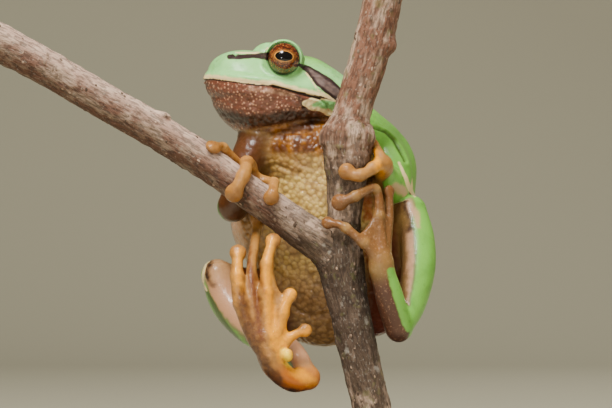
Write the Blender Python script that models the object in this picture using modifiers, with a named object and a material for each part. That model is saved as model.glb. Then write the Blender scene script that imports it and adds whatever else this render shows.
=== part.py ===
"""A life-size European tree frog gripping a forked branch, held on a plain display stand.

The frog is made of named forms: ellipsoids for the masses of the head and trunk, and tapered runs for
limbs, digits and wood. Each node's forms are blocked out with primitives, fused by a voxel Remesh and
then settled onto the smooth surface that blends the same forms. Where two nodes would cross, one of them
is cut back by its neighbour's shape grown by the gap that touching pieces keep.

Lengths are millimetres until the meshes are written. X runs to the frog's left, Y away from the viewer
who faces its belly, and Z up. Positions are given as seen from the front in the plane of the stem,
measured from the middle of that view, and at() opens them out for their depth.
"""

import math

import bmesh
import bpy
import numpy as np
from mathutils import Matrix, Vector

MM = 0.001
VIEW_DISTANCE = 440.0  # how far in front of the stem the view is taken from
GAP = 0.3  # between neighbouring nodes
EYE_GAP = 0.16  # round each eyeball, inside its lids

# The stand, and where the view's middle stands over it
BASE_RADIUS = 29.0
BASE_THICKNESS = 7.0
BASE_CENTRE = (2.0, 6.0)
ROD_RADIUS = 1.6
ROD_HEIGHT = 7.0
STEM_FOOT = -29.0
LIFT = BASE_THICKNESS + ROD_HEIGHT - STEM_FOOT

# The head's place, how far it turns to the viewer and how far its snout is raised
HEAD_MIDDLE = (-4.25, 9.3, 14.9)
HEAD_YAW = math.radians(12)
HEAD_PITCH = math.radians(6)
EYE_RADIUS = 2.15
EYE_PLACE = (-0.25, 4.62, 3.15)
LID_RADII = (2.6, 1.75, 2.45)
LID_PLANE = 0.5  # how far out from the eyeball's middle the lids open
MOUTH_LINE = ((8.6, -0.75), (8.0, -0.38), (5.0, -0.38), (1.4, -0.48), (-2.3, -1.1), (-5.0, -1.45))
MOUTH_CUT = 0.2
NECK_PLACE = (-2.0, 9.0, 9.3)
NECK_NORMAL = (-0.38, 0.0, 0.925)
NOSTRIL_PLACE = (5.6, 2.45, 3.0)
NOSTRIL_RADIUS = 0.24
EAR_PLACE = (-4.6, 6.3, 0.6)
EAR_RADIUS = 1.0
TRUNK_YAW = math.radians(12)


def at(x, y, z):
    """A place seen at x and z, at depth y, opened out for its distance from the viewer."""
    scale = 1 + y / VIEW_DISTANCE
    return np.array((x * scale, y, z * scale))


def head_axes():
    """The head's own axes as columns: forward along the snout, its left, and up through the crown."""
    forward = Vector((-math.cos(HEAD_YAW), -math.sin(HEAD_YAW), math.tan(HEAD_PITCH))).normalized()
    left = Vector((math.sin(HEAD_YAW), -math.cos(HEAD_YAW), 0))
    return np.array((forward, left, forward.cross(left))).T


def in_head(forward, left, up):
    """A place in the head's own axes, taken into the view's."""
    return at(*HEAD_MIDDLE) + head_axes() @ np.array((forward, left, up))


def turned(yaw):
    """Axes turned about Z, as columns."""
    return np.array(Matrix.Rotation(yaw, 3, "Z"))


def facing(normal):
    """Axes whose third column is the normal, for a flat form such as a toe pad."""
    up = Vector(normal).normalized()
    side = up.orthogonal().normalized()
    return np.array((side, up.cross(side), up)).T


class Ellipsoid:
    """A rounded mass with three radii along its own axes."""

    def __init__(self, centre, radii, axes=None, soft=1.0):
        self.centre = np.array(centre, float)
        self.radii = np.array(radii, float)
        self.axes = np.eye(3) if axes is None else axes
        self.soft = soft

    def distance(self, points):
        local = (points - self.centre) @ self.axes
        near = np.linalg.norm(local / self.radii, axis=1)
        slope = np.linalg.norm(local / self.radii**2, axis=1)
        return near * (near - 1) / np.maximum(slope, 1e-6)

    def block_out(self, mesh):
        matrix = Matrix(self.axes.tolist()).to_4x4() @ Matrix.Diagonal((*self.radii, 1))
        matrix.translation = self.centre
        bmesh.ops.create_icosphere(mesh, subdivisions=3, radius=1, matrix=matrix)


class Run:
    """A tapered tube with round ends through (point, radius) stations, bent smoothly between them."""

    def __init__(self, stations, soft=0.5, steps=5):
        places = [np.array(place, float) for place, _ in stations]
        sizes = [size for _, size in stations]
        self.soft = soft
        self.path, self.radii = smooth_path(places, sizes, steps)

    def distance(self, points):
        nearest = np.full(len(points), np.inf)
        for i in range(len(self.path) - 1):
            start, along = self.path[i], self.path[i + 1] - self.path[i]
            share = np.clip((points - start) @ along / (along @ along), 0, 1)
            radius = self.radii[i] + share * (self.radii[i + 1] - self.radii[i])
            away = np.linalg.norm(points - start - share[:, None] * along, axis=1) - radius
            np.minimum(nearest, away, out=nearest)
        return nearest

    def block_out(self, mesh):
        for place, radius in zip(self.path, self.radii):
            matrix = Matrix.Translation(place)
            bmesh.ops.create_icosphere(mesh, subdivisions=2, radius=radius, matrix=matrix)
        for i in range(len(self.path) - 1):
            along = Vector(self.path[i + 1] - self.path[i])
            matrix = along.to_track_quat("Z", "Y").to_matrix().to_4x4()
            matrix.translation = Vector(self.path[i]) + along / 2
            bmesh.ops.create_cone(
                mesh,
                cap_ends=True,
                segments=12,
                radius1=self.radii[i],
                radius2=self.radii[i + 1],
                depth=along.length,
                matrix=matrix,
            )


def smooth_path(places, sizes, steps):
    """A Catmull-Rom curve through the places, with the sizes carried along it."""
    rows = np.array([(*place, size) for place, size in zip(places, sizes)])
    ends = np.vstack((2 * rows[0] - rows[1], rows, 2 * rows[-1] - rows[-2]))
    made = []
    for i in range(1, len(ends) - 2):
        before, start, stop, after = ends[i - 1 : i + 3]
        for t in np.arange(steps) / steps:
            made.append(
                0.5
                * (
                    2 * start
                    + (stop - before) * t
                    + (2 * before - 5 * start + 4 * stop - after) * t**2
                    + (3 * start - before - 3 * stop + after) * t**3
                )
            )
    made = np.array([*made, ends[-2]])
    return made[:, :3], made[:, 3]


def limb(*stations, soft=1.0, steps=7):
    """A limb from stations given as seen: x, y, z and the radius."""
    return Run([(at(x, y, z), radius) for x, y, z, radius in stations], soft, steps)


def pad(x, y, z, radius, normal):
    """A digit's sticky disc, flattened along the normal."""
    return Ellipsoid(at(x, y, z), (radius, radius, radius * 0.62), facing(normal), soft=0.35)


def web(first, second, reach, ratio=1.0, steps=9):
    """A membrane between two digits: thin strands from one to the other, sagging less towards the root."""
    strands = []
    for share in np.linspace(0.12, reach, steps):
        ends = []
        for digit, part in ((first, share), (second, share * ratio)):
            place = part * (len(digit.path) - 1)
            low = int(place)
            mix = place - low
            ends.append(digit.path[low] * (1 - mix) + digit.path[min(low + 1, len(digit.path) - 1)] * mix)
        middle = (ends[0] + ends[1]) / 2
        sag = (digit.path[0] - middle) * 0.1 * share
        strands.append(Run([(ends[0], 0.3), (middle + sag, 0.25), (ends[1], 0.3)], soft=0.45, steps=2))
    return strands


def digit(root, *stations, soft=0.5):
    """A finger or toe from its root on the palm out along stations given as seen."""
    return limb(root, *stations, soft=soft, steps=5)


def blend(first, second, soft):
    """The smooth union of two distances, filleted over the width soft."""
    share = np.clip(0.5 + 0.5 * (second - first) / soft, 0, 1)
    return second + (first - second) * share - soft * share * (1 - share)


def distance_to(forms, points):
    """How far points lie outside the blended forms."""
    found = forms[0].distance(points)
    for form in forms[1:]:
        found = blend(found, form.distance(points), form.soft)
    return found


def settle(points, forms, level, rounds=4):
    """Moves points along the blended forms' slope onto the surface that lies level outside them."""
    reach = 0.02
    corners = np.array(((1, -1, -1), (-1, -1, 1), (-1, 1, -1), (1, 1, 1)), float)
    for _ in range(rounds):
        off = distance_to(forms, points) - level
        slope = sum(
            corner * distance_to(forms, points + corner * reach)[:, None] for corner in corners
        ) / (4 * reach)
        steep = np.maximum((slope**2).sum(axis=1), 0.05)
        points = points - (np.clip(off, -0.6, 0.6) / steep)[:, None] * slope
    return points


def baked(obj):
    """Replaces an object's mesh by what its modifiers make of it."""
    graph = bpy.context.evaluated_depsgraph_get()
    made = bpy.data.meshes.new_from_object(obj.evaluated_get(graph))
    old = obj.data
    obj.modifiers.clear()
    obj.data = made
    bpy.data.meshes.remove(old)
    made.name = obj.name
    return obj


def settle_mesh(mesh, forms, level):
    """Settles a mesh's points, and leaves its faces as they are."""
    points = np.empty(len(mesh.vertices) * 3, np.float32)
    mesh.vertices.foreach_get("co", points)
    points = settle(points.reshape(-1, 3).astype(float), forms, level)
    mesh.vertices.foreach_set("co", points.astype(np.float32).ravel())
    mesh.update()


def sculpted(name, forms, voxel, triangles, level=0.0, trims=()):
    """One closed surface over the blended forms, in millimetres, with about that many triangles."""
    block = bmesh.new()
    for form in forms:
        form.block_out(block)
    mesh = bpy.data.meshes.new(name)
    block.to_mesh(mesh)
    block.free()
    obj = bpy.data.objects.new(name, mesh)
    bpy.context.scene.collection.objects.link(obj)
    remesh = obj.modifiers.new("fuse", "REMESH")
    remesh.mode = "VOXEL"
    remesh.voxel_size = voxel
    baked(obj)
    settle_mesh(obj.data, forms, level)
    even = obj.modifiers.new("even", "SMOOTH")
    even.factor = 0.5
    even.iterations = 3
    baked(obj)
    settle_mesh(obj.data, forms, level)
    largest_body(obj)
    thin = obj.modifiers.new("thin", "DECIMATE")
    obj.data.calc_loop_triangles()
    thin.ratio = min(1.0, triangles / len(obj.data.loop_triangles))
    thin.use_collapse_triangulate = True
    baked(obj)
    cut(obj, *trims)
    return obj


def bodies_of(mesh):
    """The connected bodies of a bmesh, as lists of faces."""
    left = set(mesh.faces)
    bodies = []
    while left:
        edge_of_body = [left.pop()]
        body = list(edge_of_body)
        while edge_of_body:
            face = edge_of_body.pop()
            for corner in face.verts:
                for other in corner.link_faces:
                    if other in left:
                        left.remove(other)
                        edge_of_body.append(other)
                        body.append(other)
        bodies.append(body)
    return bodies


def largest_body(obj):
    """Keeps an object's largest closed surface, and drops scraps that a cut leaves loose."""
    mesh = bmesh.new()
    mesh.from_mesh(obj.data)
    bodies = sorted(bodies_of(mesh), key=lambda body: sum(face.calc_area() for face in body))
    loose = [face for body in bodies[:-1] for face in body]
    if loose:
        bmesh.ops.delete(mesh, geom=loose, context="FACES")
        bmesh.ops.delete(mesh, geom=[v for v in mesh.verts if not v.link_faces], context="VERTS")
        mesh.to_mesh(obj.data)
    mesh.free()


def cut(obj, *cutters):
    """Takes each cutter's shape out of an object."""
    for cutter in cutters:
        step = obj.modifiers.new("cut", "BOOLEAN")
        step.operation = "DIFFERENCE"
        step.object = cutter
        baked(obj)
    largest_body(obj)


# Wood

STEM = (
    (10.2, 0.0, 27.9, 2.35), (8.1, 0.0, 19.2, 2.4), (6.25, 0.0, 13.0, 2.3), (5.5, 0.0, 10.3, 2.45),
    (5.1, 0.0, 8.2, 3.1), (5.1, 0.0, 6.0, 2.95), (5.05, 0.0, 4.0, 2.65), (5.0, 0.0, 1.7, 2.35),
    (4.8, 0.0, -1.0, 2.15), (4.5, 0.0, -4.0, 2.35), (4.4, 0.0, -7.2, 2.8), (4.9, 0.0, -10.8, 2.65),
    (5.6, 0.0, -13.9, 2.5), (6.5, 0.0, -18.3, 2.42), (8.0, 0.0, -24.5, 2.35), (9.3, 0.0, -30.5, 2.3),
)  # fmt: skip
BRANCH = (
    (-42.0, -2.6, 22.1, 2.38), (-38.2, -2.4, 20.1, 2.36), (-32.0, -2.1, 16.8, 2.2),
    (-25.7, -1.8, 13.1, 2.2),
    (-19.5, -1.5, 9.6, 2.2), (-13.2, -1.3, 5.7, 2.15), (-8.2, -1.1, 2.2, 2.1), (-4.5, -0.9, -0.4, 2.1),
    (-0.75, -0.5, -3.1, 2.3), (2.0, -0.2, -5.0, 2.45), (4.2, 0.0, -7.0, 2.5),
)  # fmt: skip
NODE_LUMPS = ((7.3, -0.6, 8.6, 1.2), (3.2, -0.9, 8.4, 1.35), (6.2, -1.6, 5.4, 1.5), (5.0, 1.5, 7.6, 2.0))
STEM_KNOT = (10.3, -0.7, 19.9, 0.95)
BRANCH_END = -40.4
STEM_TOP = 26.6


def stem_forms():
    """The upright stem, with its swollen node and a knot above it."""
    places = (*NODE_LUMPS, STEM_KNOT)
    lumps = [Ellipsoid(at(x, y, z), (size, size, size), soft=1.2) for x, y, z, size in places]
    return [limb(*STEM), *lumps]


def branch_forms():
    """The side branch, from its cut end into the fork."""
    bud = Ellipsoid(at(-18.2, -2.2, 10.9), (1.3, 0.7, 0.6), soft=0.5)
    return [limb(*BRANCH), bud]


# Frog, node by node


def trunk_forms():
    """Belly, chest, nape, back and rump, turned a little to the frog's right."""
    axes = turned(-TRUNK_YAW)
    nape = [(in_head(-4.0, 0, -0.6), 4.6), (at(3.6, 10.4, 10.0), 4.8), (at(6.2, 10.9, 5.0), 6.2)]
    return [
        Ellipsoid(at(2.1, 10.7, -1.6), (12.0, 7.2, 10.2), axes),
        Ellipsoid(at(3.8, 10.3, 4.0), (10.3, 6.4, 7.5), axes, soft=2.0),
        Ellipsoid(at(-0.6, 9.6, 6.6), (7.6, 5.6, 4.6), axes, soft=1.5),
        Run(nape, soft=2.5),
        Ellipsoid(at(2.2, 10.6, -10.0), (8.2, 6.0, 7.4), axes, soft=2.0),
        Ellipsoid(at(2.1, 10.4, -14.4), (4.4, 4.2, 3.4), axes, soft=1.5),
    ]


def skull_forms():
    """The head: blunt snout, crown, lips, jaw with the folded vocal sac, cheeks, and the eyes' bulges."""
    axes = head_axes()

    def mass(forward, left, up, *radii, soft=1.5):
        return Ellipsoid(in_head(forward, left, up), radii, axes, soft)

    forms = [
        mass(-2.0, 0, 0.6, 7.0, 5.2, 2.9),
        mass(3.4, 0, 1.1, 4.9, 4.2, 2.9, soft=1.6),
        mass(-1.5, 0, -0.5, 10.0, 6.6, 1.9, soft=1.4),
        mass(-5.5, 0, -0.3, 4.8, 6.2, 2.5, soft=1.6),
        mass(-1.0, 0, -2.3, 8.5, 6.3, 4.2, soft=0.7),
        mass(0.6, 0, -4.0, 5.3, 5.2, 2.7, soft=1.2),
    ]
    lip = []
    jaw = []
    for turn in np.linspace(-2.2, 2.2, 15):
        forward = -1.5 + 9.7 * math.cos(turn)
        lip.append((in_head(forward, 6.35 * math.sin(turn), mouth_height(forward) + 0.55), 0.5))
        forward = -1.5 + 9.0 * math.cos(turn)
        jaw.append((in_head(forward, 5.9 * math.sin(turn), mouth_height(forward) - 0.95), 0.8))
    forms.append(Run(lip, soft=0.6, steps=2))
    forms.append(Run(jaw[3:-3], soft=0.7, steps=2))
    for side in (1, -1):
        forward, left, up = EYE_PLACE
        forms.append(mass(forward, side * (left - 0.2), up + 0.05, *LID_RADII, soft=0.7))
        forms.append(mass(-4.6, side * 5.4, -1.4, 3.2, 1.5, 2.2, soft=1.0))
    return forms


def body_forms():
    """Head and trunk together, so that both sides of the neck's cut lie on one surface."""
    trunk = trunk_forms()
    skull = skull_forms()
    skull[0].soft = 1.6
    return [*trunk, *skull]


def mouth_height(forward):
    """How high the mouth line runs in the head's axes, that far forward."""
    stations = sorted(MOUTH_LINE)
    return float(np.interp(forward, [place for place, _ in stations], [height for _, height in stations]))


UPPER_ARM = {
    "r": ((-5.0, 8.4, 8.6, 3.0), (-6.8, 6.9, 6.0, 2.5), (-8.1, 5.8, 2.8, 2.0), (-9.2, 5.0, -0.4, 1.8)),
    "l": ((7.2, 8.4, 8.2, 2.8), (9.8, 6.2, 6.2, 2.6), (11.0, 5.0, 4.0, 2.3), (11.1, 4.7, 1.8, 1.8)),
}
FOREARM = {
    "r": ((-9.1, 4.8, -0.3, 1.85), (-8.4, 4.2, 1.2, 1.6), (-7.5, 3.1, 2.5, 1.15)),
    "l": ((11.0, 4.6, 1.9, 1.75), (10.4, 2.8, 3.0, 1.6), (9.5, 1.0, 4.4, 1.2)),
}
THIGH = {
    "r": (
        (-1.0, 10.4, -13.6, 3.3), (-5.2, 9.0, -12.4, 3.7), (-8.7, 7.2, -10.8, 3.1), (-11.1, 5.3, -8.9, 1.85),
    ),
    "l": (
        (5.0, 10.4, -13.4, 3.4), (9.2, 8.4, -12.6, 3.6), (11.7, 6.7, -7.6, 3.4), (13.0, 4.9, -0.9, 1.85),
    ),
}
SHANK = {
    "r": (
        (-11.1, 5.2, -8.9, 2.0), (-9.7, 4.2, -12.3, 2.3), (-7.0, 2.0, -15.3, 2.25),
        (-3.9, -0.6, -17.2, 1.9), (-1.4, -2.8, -18.9, 1.45), (0.2, -4.4, -21.5, 1.2),
    ),
    "l": (
        (13.1, 4.8, -0.9, 2.0), (13.9, 3.4, -4.5, 2.2), (14.0, 1.8, -8.3, 2.15),
        (13.2, 0.4, -12.5, 1.8), (12.0, -1.2, -15.5, 1.3),
    ),
}  # fmt: skip
TARSUS = {
    "r": (
        (0.3, -4.6, -21.8, 1.4), (-1.6, -5.8, -22.1, 1.4), (-3.3, -6.4, -21.0, 1.45),
        (-4.2, -6.7, -19.8, 1.3),
    ),
    "l": ((11.6, -1.6, -15.6, 1.7), (10.4, -2.6, -11.5, 1.75), (9.4, -3.2, -7.9, 1.4)),
}


def right_hand_forms():
    """The palm behind the branch's top edge, two fingers over its front, one along its top, one behind."""
    palm = (-7.1, 2.2, 3.0, 1.1)
    return [
        limb((-7.4, 2.8, 2.6, 1.1), (-6.9, 2.1, 3.3, 1.15)),
        digit(
            palm, (-6.9, 1.3, 4.6, 0.85), (-7.4, -0.9, 5.15, 0.8), (-7.6, -3.1, 4.1, 0.8),
            (-8.3, -3.95, 2.6, 0.8), (-8.9, -3.85, 1.5, 0.85),
        ),
        pad(-9.0, -3.75, 1.35, 1.1, (0.1, 1, 0.1)),
        digit(
            palm, (-5.6, 2.0, 2.9, 0.8), (-4.4, 1.2, 2.7, 0.65), (-4.05, -0.9, 2.65, 0.62),
            (-4.1, -2.9, 1.75, 0.65), (-4.3, -3.45, 1.0, 0.7),
        ),
        pad(-4.35, -3.4, 0.8, 0.95, (0, 1, 0.2)),
        digit(
            palm, (-8.3, 1.6, 4.7, 0.75), (-9.4, 0.4, 6.0, 0.6), (-10.4, -0.7, 7.0, 0.6),
            (-11.2, -1.9, 7.2, 0.55),
        ),
        pad(-11.6, -2.6, 7.1, 0.98, (-0.5, 0.5, -0.8)),
        digit(palm, (-5.9, 2.5, 2.0, 0.75), (-5.0, 2.3, 0.9, 0.65), (-4.6, 2.0, 0.3, 0.6)),
        pad(-4.5, 1.9, 0.1, 0.9, (0, -1, 0.2)),
    ]  # fmt: skip


def left_hand_forms():
    """The palm beside the stem, one finger across its front, one up beside the node, two behind."""
    palm = (9.5, 0.2, 4.8, 1.15)
    return [
        limb((9.5, 0.8, 4.5, 1.15), (9.6, -0.3, 5.0, 1.15)),
        digit(
            palm, (8.8, -2.2, 4.8, 0.75), (7.5, -3.4, 3.9, 0.7), (6.3, -3.75, 3.5, 0.7),
            (5.3, -3.6, 3.9, 0.75),
        ),
        pad(5.1, -3.5, 4.05, 1.0, (0, 1, 0.1)),
        digit(palm, (9.4, -0.9, 5.7, 0.7), (9.0, -0.1, 6.6, 0.6), (8.7, 1.1, 7.1, 0.55)),
        pad(8.6, 1.5, 7.2, 0.85, (-1, 0.1, 0)),
        digit(palm, (9.2, 2.4, 4.6, 0.7), (7.6, 3.6, 4.2, 0.65), (5.9, 3.9, 4.1, 0.6)),
        pad(5.5, 3.9, 4.1, 0.9, (0, -1, 0)),
        digit(palm, (9.4, 2.0, 3.4, 0.7), (8.1, 3.2, 2.3, 0.6), (6.6, 3.6, 1.8, 0.6)),
        pad(6.2, 3.6, 1.7, 0.9, (-0.2, -1, 0)),
    ]  # fmt: skip


def right_foot_forms():
    """The dangling foot, sole to the viewer: a fan of five webbed toes, and the heel tubercle."""
    heel = (-4.5, -6.9, -19.0, 1.3)
    outer = digit(
        heel, (-6.4, -7.0, -16.6, 1.1), (-8.1, -6.8, -12.4, 0.95), (-8.6, -6.3, -9.1, 0.8),
        (-8.55, -5.5, -6.6, 0.65),
    )  # fmt: skip
    fourth = digit(
        heel, (-5.9, -7.0, -15.6, 1.0), (-6.7, -6.5, -11.5, 0.75), (-6.8, -5.0, -8.0, 0.65),
        (-6.4, -1.6, -4.8, 0.6), (-6.2, 1.4, -3.5, 0.6), (-6.0, 2.5, -2.3, 0.6),
    )  # fmt: skip
    third = digit(
        heel, (-4.9, -7.1, -15.4, 1.05), (-5.0, -7.0, -11.2, 0.85), (-4.9, -6.6, -7.6, 0.75),
        (-4.3, -5.9, -5.2, 0.65),
    )  # fmt: skip
    second = digit(heel, (-3.6, -7.1, -16.0, 0.95), (-2.8, -7.1, -13.2, 0.75), (-2.2, -6.9, -11.8, 0.6))
    first = digit(heel, (-3.0, -7.0, -17.6, 0.9), (-1.7, -7.0, -16.5, 0.6), (-0.5, -7.0, -15.9, 0.5))
    return [
        limb((-4.2, -6.7, -19.8, 1.4), (-5.0, -7.0, -16.8, 1.5)),
        outer,
        fourth,
        third,
        second,
        first,
        pad(-8.5, -5.2, -6.1, 1.0, (0, 1, -0.3)),
        pad(-6.0, 2.5, -1.9, 0.95, (0, -1, 0.2)),
        pad(-4.1, -5.6, -4.6, 0.9, (0, 1, -0.2)),
        pad(-2.0, -6.8, -11.4, 0.85, (0, 1, -0.2)),
        pad(-0.1, -7.0, -15.8, 0.8, (0.2, 1, 0)),
        Ellipsoid(at(-2.3, -7.9, -18.9), (0.7, 0.6, 0.8), soft=0.5),
        *web(outer, fourth, 0.6),
        *web(fourth, third, 0.5),
        *web(third, second, 0.8),
        *web(second, first, 0.55),
    ]


def left_foot_forms():
    """The gripping foot: a toe across the fork, the long one up the stem, one beside it, two behind."""
    heel = (9.4, -3.2, -7.4, 1.3)
    third = digit(
        heel, (8.0, -3.9, -5.6, 0.7), (6.75, -4.1, -4.5, 0.6), (5.5, -4.0, -3.4, 0.57),
        (4.25, -3.7, -2.6, 0.53), (2.9, -3.3, -2.4, 0.5),
    )  # fmt: skip
    fourth = digit(
        heel, (9.4, -3.1, -4.6, 0.7), (9.1, -2.6, -1.4, 0.6), (9.0, -2.2, 1.2, 0.57),
        (8.3, -2.7, 2.0, 0.57),
        (7.0, -3.6, 1.4, 0.6), (5.6, -3.9, 0.7, 0.62), (4.5, -3.7, 0.3, 0.65),
    )  # fmt: skip
    fifth = digit(heel, (10.1, -2.2, -4.6, 0.65), (10.4, -1.2, -1.6, 0.55), (10.4, -0.8, 1.0, 0.5))
    second = digit(heel, (8.8, -1.2, -6.0, 0.65), (8.4, 1.2, -5.0, 0.55), (7.4, 3.0, -4.4, 0.5))
    first = digit(heel, (8.9, -1.6, -7.4, 0.65), (8.6, 0.4, -7.8, 0.5))
    return [
        limb((9.4, -3.2, -8.0, 1.35), (9.4, -3.3, -6.8, 1.2)),
        third,
        fourth,
        fifth,
        second,
        first,
        pad(2.7, -3.25, -2.35, 0.75, (0, 1, -0.2)),
        pad(4.2, -3.6, 0.2, 1.0, (0.1, 1, 0)),
        pad(10.4, -0.8, 1.6, 0.72, (-0.6, 0.8, 0)),
        pad(7.0, 3.3, -4.3, 0.8, (-0.6, -0.8, 0)),
        pad(8.5, 0.8, -7.9, 0.75, (-1, 0, 0)),
        *web(third, fourth, 0.42, 0.75),
        *web(fourth, fifth, 0.5),
        *web(second, third, 0.3, steps=6),
    ]


def head_details(head):
    """Cuts the mouth line, the nostrils, the rings of the eardrums and the openings of the lids."""
    forms = body_forms()
    for side in (1, -1):
        stations = [in_head(forward, side * 9.0, up) for forward, up in MOUTH_LINE[1:]]
        inward = head_axes() @ np.array((0, -side, 0))
        line = [first_touch(forms, place, inward) for place in stations]
        front = in_head(MOUTH_LINE[0][0] + 1.0, 0, MOUTH_LINE[0][1] + 0.35)
        nose = first_touch(forms, front, -head_axes()[:, 0])
        path, _ = smooth_path([nose, *line], [MOUTH_CUT] * (len(line) + 1), 3)
        path = settle(path, forms, -0.02)
        cut(head, wire("mouth", path, MOUTH_CUT))
        forward, left, up = NOSTRIL_PLACE
        spot = settle(np.array([in_head(forward, side * left, up)]), forms, 0.0)[0]
        cut(head, ball("nostril", spot, NOSTRIL_RADIUS))
        forward, left, up = EAR_PLACE
        spot = settle(np.array([in_head(forward, side * left, up)]), forms, 0.0)[0]
        cut(head, ring("eardrum", spot, facing_out(forms, spot), EAR_RADIUS, 0.17))
        eye, outward = eye_frame(side)
        opening = ball("lid_opening", eye + outward * (LID_PLANE + 2.45), 2.45, flat=True, axis=outward)
        cut(head, opening, ball("socket", eye, EYE_RADIUS + EYE_GAP))


def eye_frame(side):
    """An eyeball's middle, and the way that its pupil faces."""
    forward, left, up = EYE_PLACE
    eye = in_head(forward, side * left, up)
    outward = head_axes() @ np.array((0.2, side, 0.05))
    return eye, outward / np.linalg.norm(outward)


def facing_out(forms, place):
    """The way the blended surface faces at a place."""
    steps = np.eye(3) * 0.3
    rise = distance_to(forms, place + steps) - distance_to(forms, place - steps)
    return rise / np.linalg.norm(rise)


def first_touch(forms, place, direction):
    """Where a ray from outside first meets the blended forms."""
    place = np.array(place, float)
    for _ in range(60):
        away = distance_to(forms, place[None])[0]
        if away < 0.01:
            break
        place = place + direction * away * 0.8
    return place


# Cutters and plain solids


def helper(name):
    """The object just added, in millimetres like the rest, and hidden from the render."""
    obj = bpy.context.object
    obj.name = name
    obj.hide_render = True
    obj.display_type = "WIRE"
    return obj


def ball(name, centre, radius, flat=False, axis=(0, 0, 1)):
    """A ball or, if flat, a short drum of that radius along the axis."""
    if flat:
        bpy.ops.mesh.primitive_cylinder_add(vertices=24, radius=radius, depth=2 * radius)
    else:
        bpy.ops.mesh.primitive_uv_sphere_add(segments=16, ring_count=10, radius=radius)
    obj = helper(name)
    obj.rotation_euler = Vector(axis).to_track_quat("Z", "Y").to_euler()
    obj.location = Vector(centre)
    bpy.context.view_layer.update()
    return obj


def ring(name, centre, axis, radius, thickness):
    """A thin torus round the axis."""
    bpy.ops.mesh.primitive_torus_add(
        major_radius=radius, minor_radius=thickness, major_segments=16, minor_segments=4
    )
    obj = helper(name)
    obj.rotation_euler = Vector(axis).to_track_quat("Z", "Y").to_euler()
    obj.location = Vector(centre)
    bpy.context.view_layer.update()
    return obj


def wire(name, path, radius):
    """A round wire along a path, as a closed mesh."""
    curve = bpy.data.curves.new(name, "CURVE")
    curve.dimensions = "3D"
    curve.bevel_depth = radius
    curve.bevel_resolution = 0
    curve.use_fill_caps = True
    spline = curve.splines.new("POLY")
    spline.points.add(len(path) - 1)
    for point, place in zip(spline.points, path):
        point.co = (*place, 1)
    guide = bpy.data.objects.new(name, curve)
    bpy.context.scene.collection.objects.link(guide)
    graph = bpy.context.evaluated_depsgraph_get()
    mesh = bpy.data.meshes.new_from_object(guide.evaluated_get(graph))
    bpy.data.objects.remove(guide)
    welded = bmesh.new()
    welded.from_mesh(mesh)
    bmesh.ops.remove_doubles(welded, verts=welded.verts, dist=0.001)
    bmesh.ops.recalc_face_normals(welded, faces=welded.faces)
    welded.to_mesh(mesh)
    welded.free()
    obj = bpy.data.objects.new(name, mesh)
    obj.hide_render = True
    bpy.context.scene.collection.objects.link(obj)
    return obj


def block(name, centre, size):
    """A box to cut with."""
    bpy.ops.mesh.primitive_cube_add(size=1)
    obj = helper(name)
    obj.location = Vector(centre)
    obj.scale = size
    bpy.context.view_layer.update()
    return obj


def half_space(name, place, normal):
    """A block that fills everything behind a plane, on the side away from its normal."""
    obj = block(name, (0, 0, 0), (160, 160, 80))
    obj.rotation_euler = Vector(normal).to_track_quat("Z", "Y").to_euler()
    obj.location = Vector(place) - Vector(normal).normalized() * 40
    bpy.context.view_layer.update()
    return obj


def stand():
    """A round base with a softened rim, and the rod that carries the stem."""
    x, y = BASE_CENTRE
    foot = STEM_FOOT - ROD_HEIGHT - BASE_THICKNESS
    bpy.ops.mesh.primitive_cylinder_add(vertices=52, radius=BASE_RADIUS, depth=BASE_THICKNESS)
    base = bpy.context.object
    base.name = "stand_base"
    base.location = (x, y, foot + BASE_THICKNESS / 2)
    rim = base.modifiers.new("rim", "BEVEL")
    rim.width = 0.8
    rim.segments = 2
    rim.limit_method = "ANGLE"
    stem_x = at(8.97, 0, STEM_FOOT)[0]
    bpy.ops.mesh.primitive_cylinder_add(vertices=32, radius=ROD_RADIUS, depth=ROD_HEIGHT - 2 * GAP)
    rod = bpy.context.object
    rod.name = "stand_rod"
    rod.location = (stem_x, 0, STEM_FOOT - ROD_HEIGHT / 2)
    bpy.context.view_layer.update()
    return base, rod


def skin_nodes():
    """Each node of flesh: its forms, voxel, triangles, colour key and the nodes that it gives way to."""
    nodes = {
        "hand_r": (right_hand_forms(), 0.24, 900, "digits", ("perch_branch",)),
        "hand_l": (left_hand_forms(), 0.24, 900, "digits", ("perch_stem",)),
        "foot_r": (right_foot_forms(), 0.26, 1400, "digits", ("perch_branch", "hand_r")),
        "foot_l": (left_foot_forms(), 0.24, 1250, "web", ("perch_stem", "perch_branch", "hand_l")),
    }
    for side in ("r", "l"):
        hand, foot = f"hand_{side}", f"foot_{side}"
        nodes[f"tarsus_{side}"] = ([limb(*TARSUS[side])], 0.35, 220, "bronze", (foot, "perch_stem"))
        nodes[f"shank_{side}"] = ([limb(*SHANK[side])], 0.4, 320, "green", (f"tarsus_{side}", foot))
        ahead = (hand, "perch_stem", "perch_branch", f"shank_{side}")
        nodes[f"forearm_{side}"] = ([limb(*FOREARM[side])], 0.35, 220, "green", ahead)
    near_belly = ("hand_l", "hand_r", "foot_l", "foot_r", "forearm_l", "forearm_r", "shank_l", "shank_r")
    nodes["torso"] = (body_forms(), 0.6, 2150, "belly", ("perch_stem", "perch_branch", *near_belly))
    nodes["head"] = (body_forms(), 0.35, 4640, "green", ("perch_stem", "hand_l"))
    for side in ("r", "l"):
        arm = ("torso", f"forearm_{side}", f"hand_{side}", f"shank_{side}")
        nodes[f"upper_arm_{side}"] = ([limb(*UPPER_ARM[side])], 0.4, 260, "green", arm)
        leg = ("torso", f"shank_{side}", f"foot_{side}", f"tarsus_{side}")
        nodes[f"thigh_{side}"] = ([limb(*THIGH[side])], 0.45, 300, "flank", leg)
    return nodes


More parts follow.
